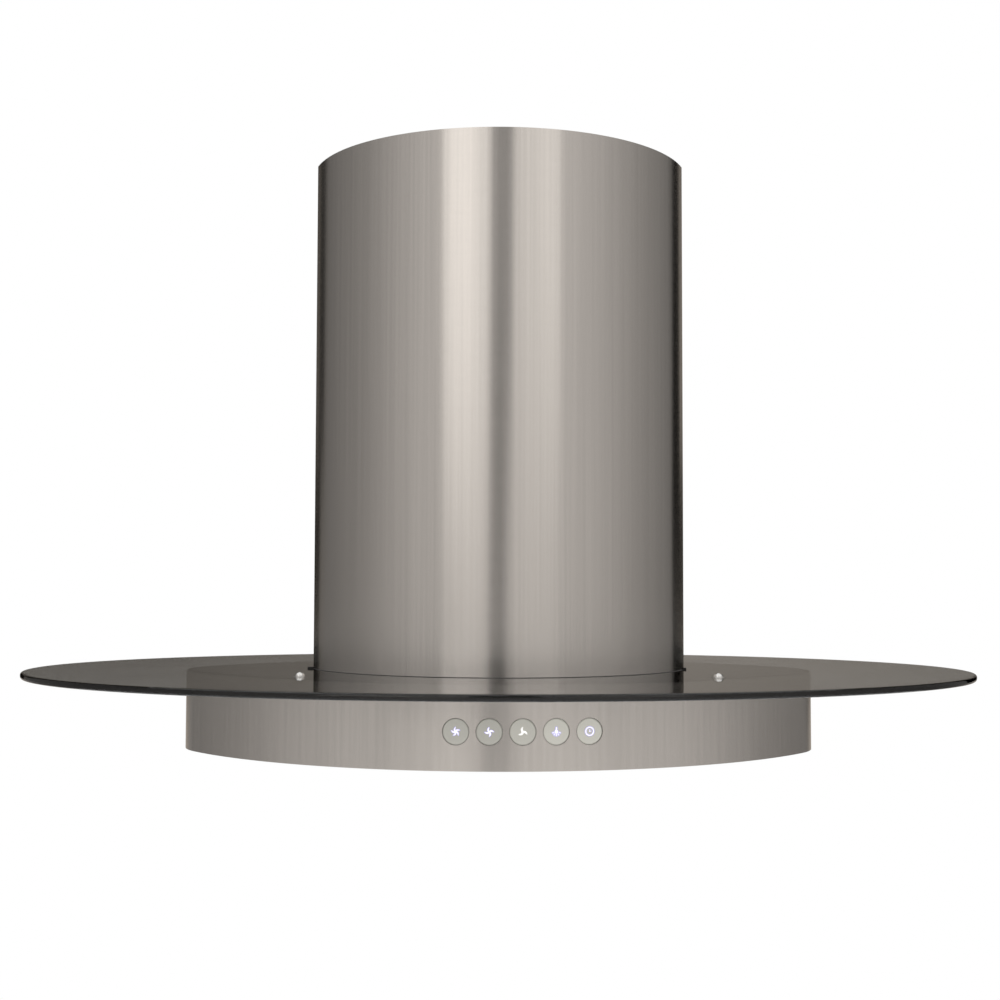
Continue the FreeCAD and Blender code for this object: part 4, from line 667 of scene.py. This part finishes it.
def blade(tip, inner, outer, width, count=7):
    """Outline of one curved fan blade as (across, up) points."""
    lead, trail = [], []
    for step in range(count):
        share = step / (count - 1)
        radius = inner + (outer - inner) * share
        middle = tip + BLADE_SWEEP * (1 - share)
        wave = math.sin(math.pi * (BLADE_WAVE_START + BLADE_WAVE_LENGTH * share))
        half = width * wave / radius
        lead.append(polar(radius, middle + half))
        trail.append(polar(radius, middle - half))
    return lead + trail[::-1]


def disc(radius, count=20):
    return [polar(radius, 2 * math.pi * step / count) for step in range(count)]


def half_ring(inner, outer, start, count=28):
    """Half of a ring from the start angle on, degrees."""
    turns = [math.radians(start + 180 * step / count) for step in range(count + 1)]
    return [polar(outer, turn) for turn in turns] + [polar(inner, turn) for turn in turns[::-1]]


def bar(start, end, width):
    """Straight stroke between two (across, up) points."""
    run = Vector((end[0] - start[0], end[1] - start[1])).normalized() * width / 2
    side = Vector((-run.y, run.x))
    return [(start[0] + side.x, start[1] + side.y), (start[0] - side.x, start[1] - side.y),
            (end[0] - side.x, end[1] - side.y), (end[0] + side.x, end[1] + side.y)]


def fan_sign(count, width, grow):
    """Fan with this many blades; width is half a blade's, as a share of the radius."""
    r = SIGN_RADIUS
    shapes = [disc(r * FAN_HUB + grow)]
    for number in range(count):
        tip = 2 * math.pi * number / count + math.pi / 2
        shapes.append(blade(tip, r * BLADE_START, r + grow, r * width + grow))
    return shapes


def lamp_sign(grow):
    """Hanging bulb with rays."""
    r = SIGN_RADIUS
    shapes = [disc(r * BULB_RADIUS + grow),
              bar((0, r * STEM_START), (0, r + grow), r * STEM_WIDTH + 2 * grow)]
    for angle in RAY_ANGLES:
        way = Vector(polar(1.0, math.radians(angle)))
        near, far = way * r * RAY_START, way * (r * RAY_END + grow)
        shapes.append(bar(near, far, r * RAY_WIDTH + 2 * grow))
    return shapes


def clock_sign(grow):
    """Ring with two hands."""
    r = SIGN_RADIUS
    inside, hand = r * CLOCK_INSIDE - grow, r * HAND_WIDTH + grow
    return [half_ring(inside, r + grow, 0),
            half_ring(inside, r + grow, 180),
            bar((0, -r * HAND_TAIL), (0, r * HAND_UP), hand),
            bar((-r * HAND_TAIL, 0), (r * HAND_ACROSS, 0), hand)]


def sign_mesh(name, layers, node, joint_name):
    """Raised sign: each layer is (outlines, its height over the face)."""
    centre, right, inward = button_face_frame(node, joint_name)
    form = bmesh.new()
    for index, (shapes, top) in enumerate(layers):
        for shape in shapes:
            foot, rim = [[form.verts.new(centre + right * across + UP * up - inward * depth)
                          for across, up in shape] for depth in (0, top)]
            faces = [form.faces.new(rim)]
            for step in range(len(shape)):
                after = (step + 1) % len(shape)
                faces.append(form.faces.new((foot[step], foot[after], rim[after], rim[step])))
            for face in faces:
                face.material_index = index
    form.normal_update()
    bmesh.ops.triangulate(form, faces=form.faces[:])
    bmesh.ops.recalc_face_normals(form, faces=form.faces[:])
    return built(name, form)


def button_signs():
    """A white sign with a violet rim on each button; the slow fan's is white all over."""
    violet = lit_sign("sign_violet", (0.45, 0.42, 0.82), 0.55)
    white = lit_sign("sign_white", (0.93, 0.92, 1.0), 0.75)
    plain = lit_sign("sign_plain", (0.98, 0.97, 0.95), 0.55)
    signs = (
        ("fan_high", lambda grow: fan_sign(5, 0.18, grow), violet, white),
        ("fan_medium", lambda grow: fan_sign(4, 0.2, grow), violet, white),
        ("fan_low", lambda grow: fan_sign(3, 0.16, grow), plain, plain),
        ("lamp", lamp_sign, violet, white),
        ("timer", clock_sign, violet, white),
    )
    for word, outline, rim_paint, face_paint in signs:
        layers = [(outline(SIGN_RIM), SIGN_HEIGHT), (outline(SIGN_CORE), CORE_HEIGHT)]
        item = sign_mesh(f"sign_{word}", layers, f"button_{word}", f"{word}_press")
        item.data.materials.append(rim_paint)
        item.data.materials.append(face_paint)
        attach(item, f"{word}_key")


finish_nodes()
button_signs()
studio()
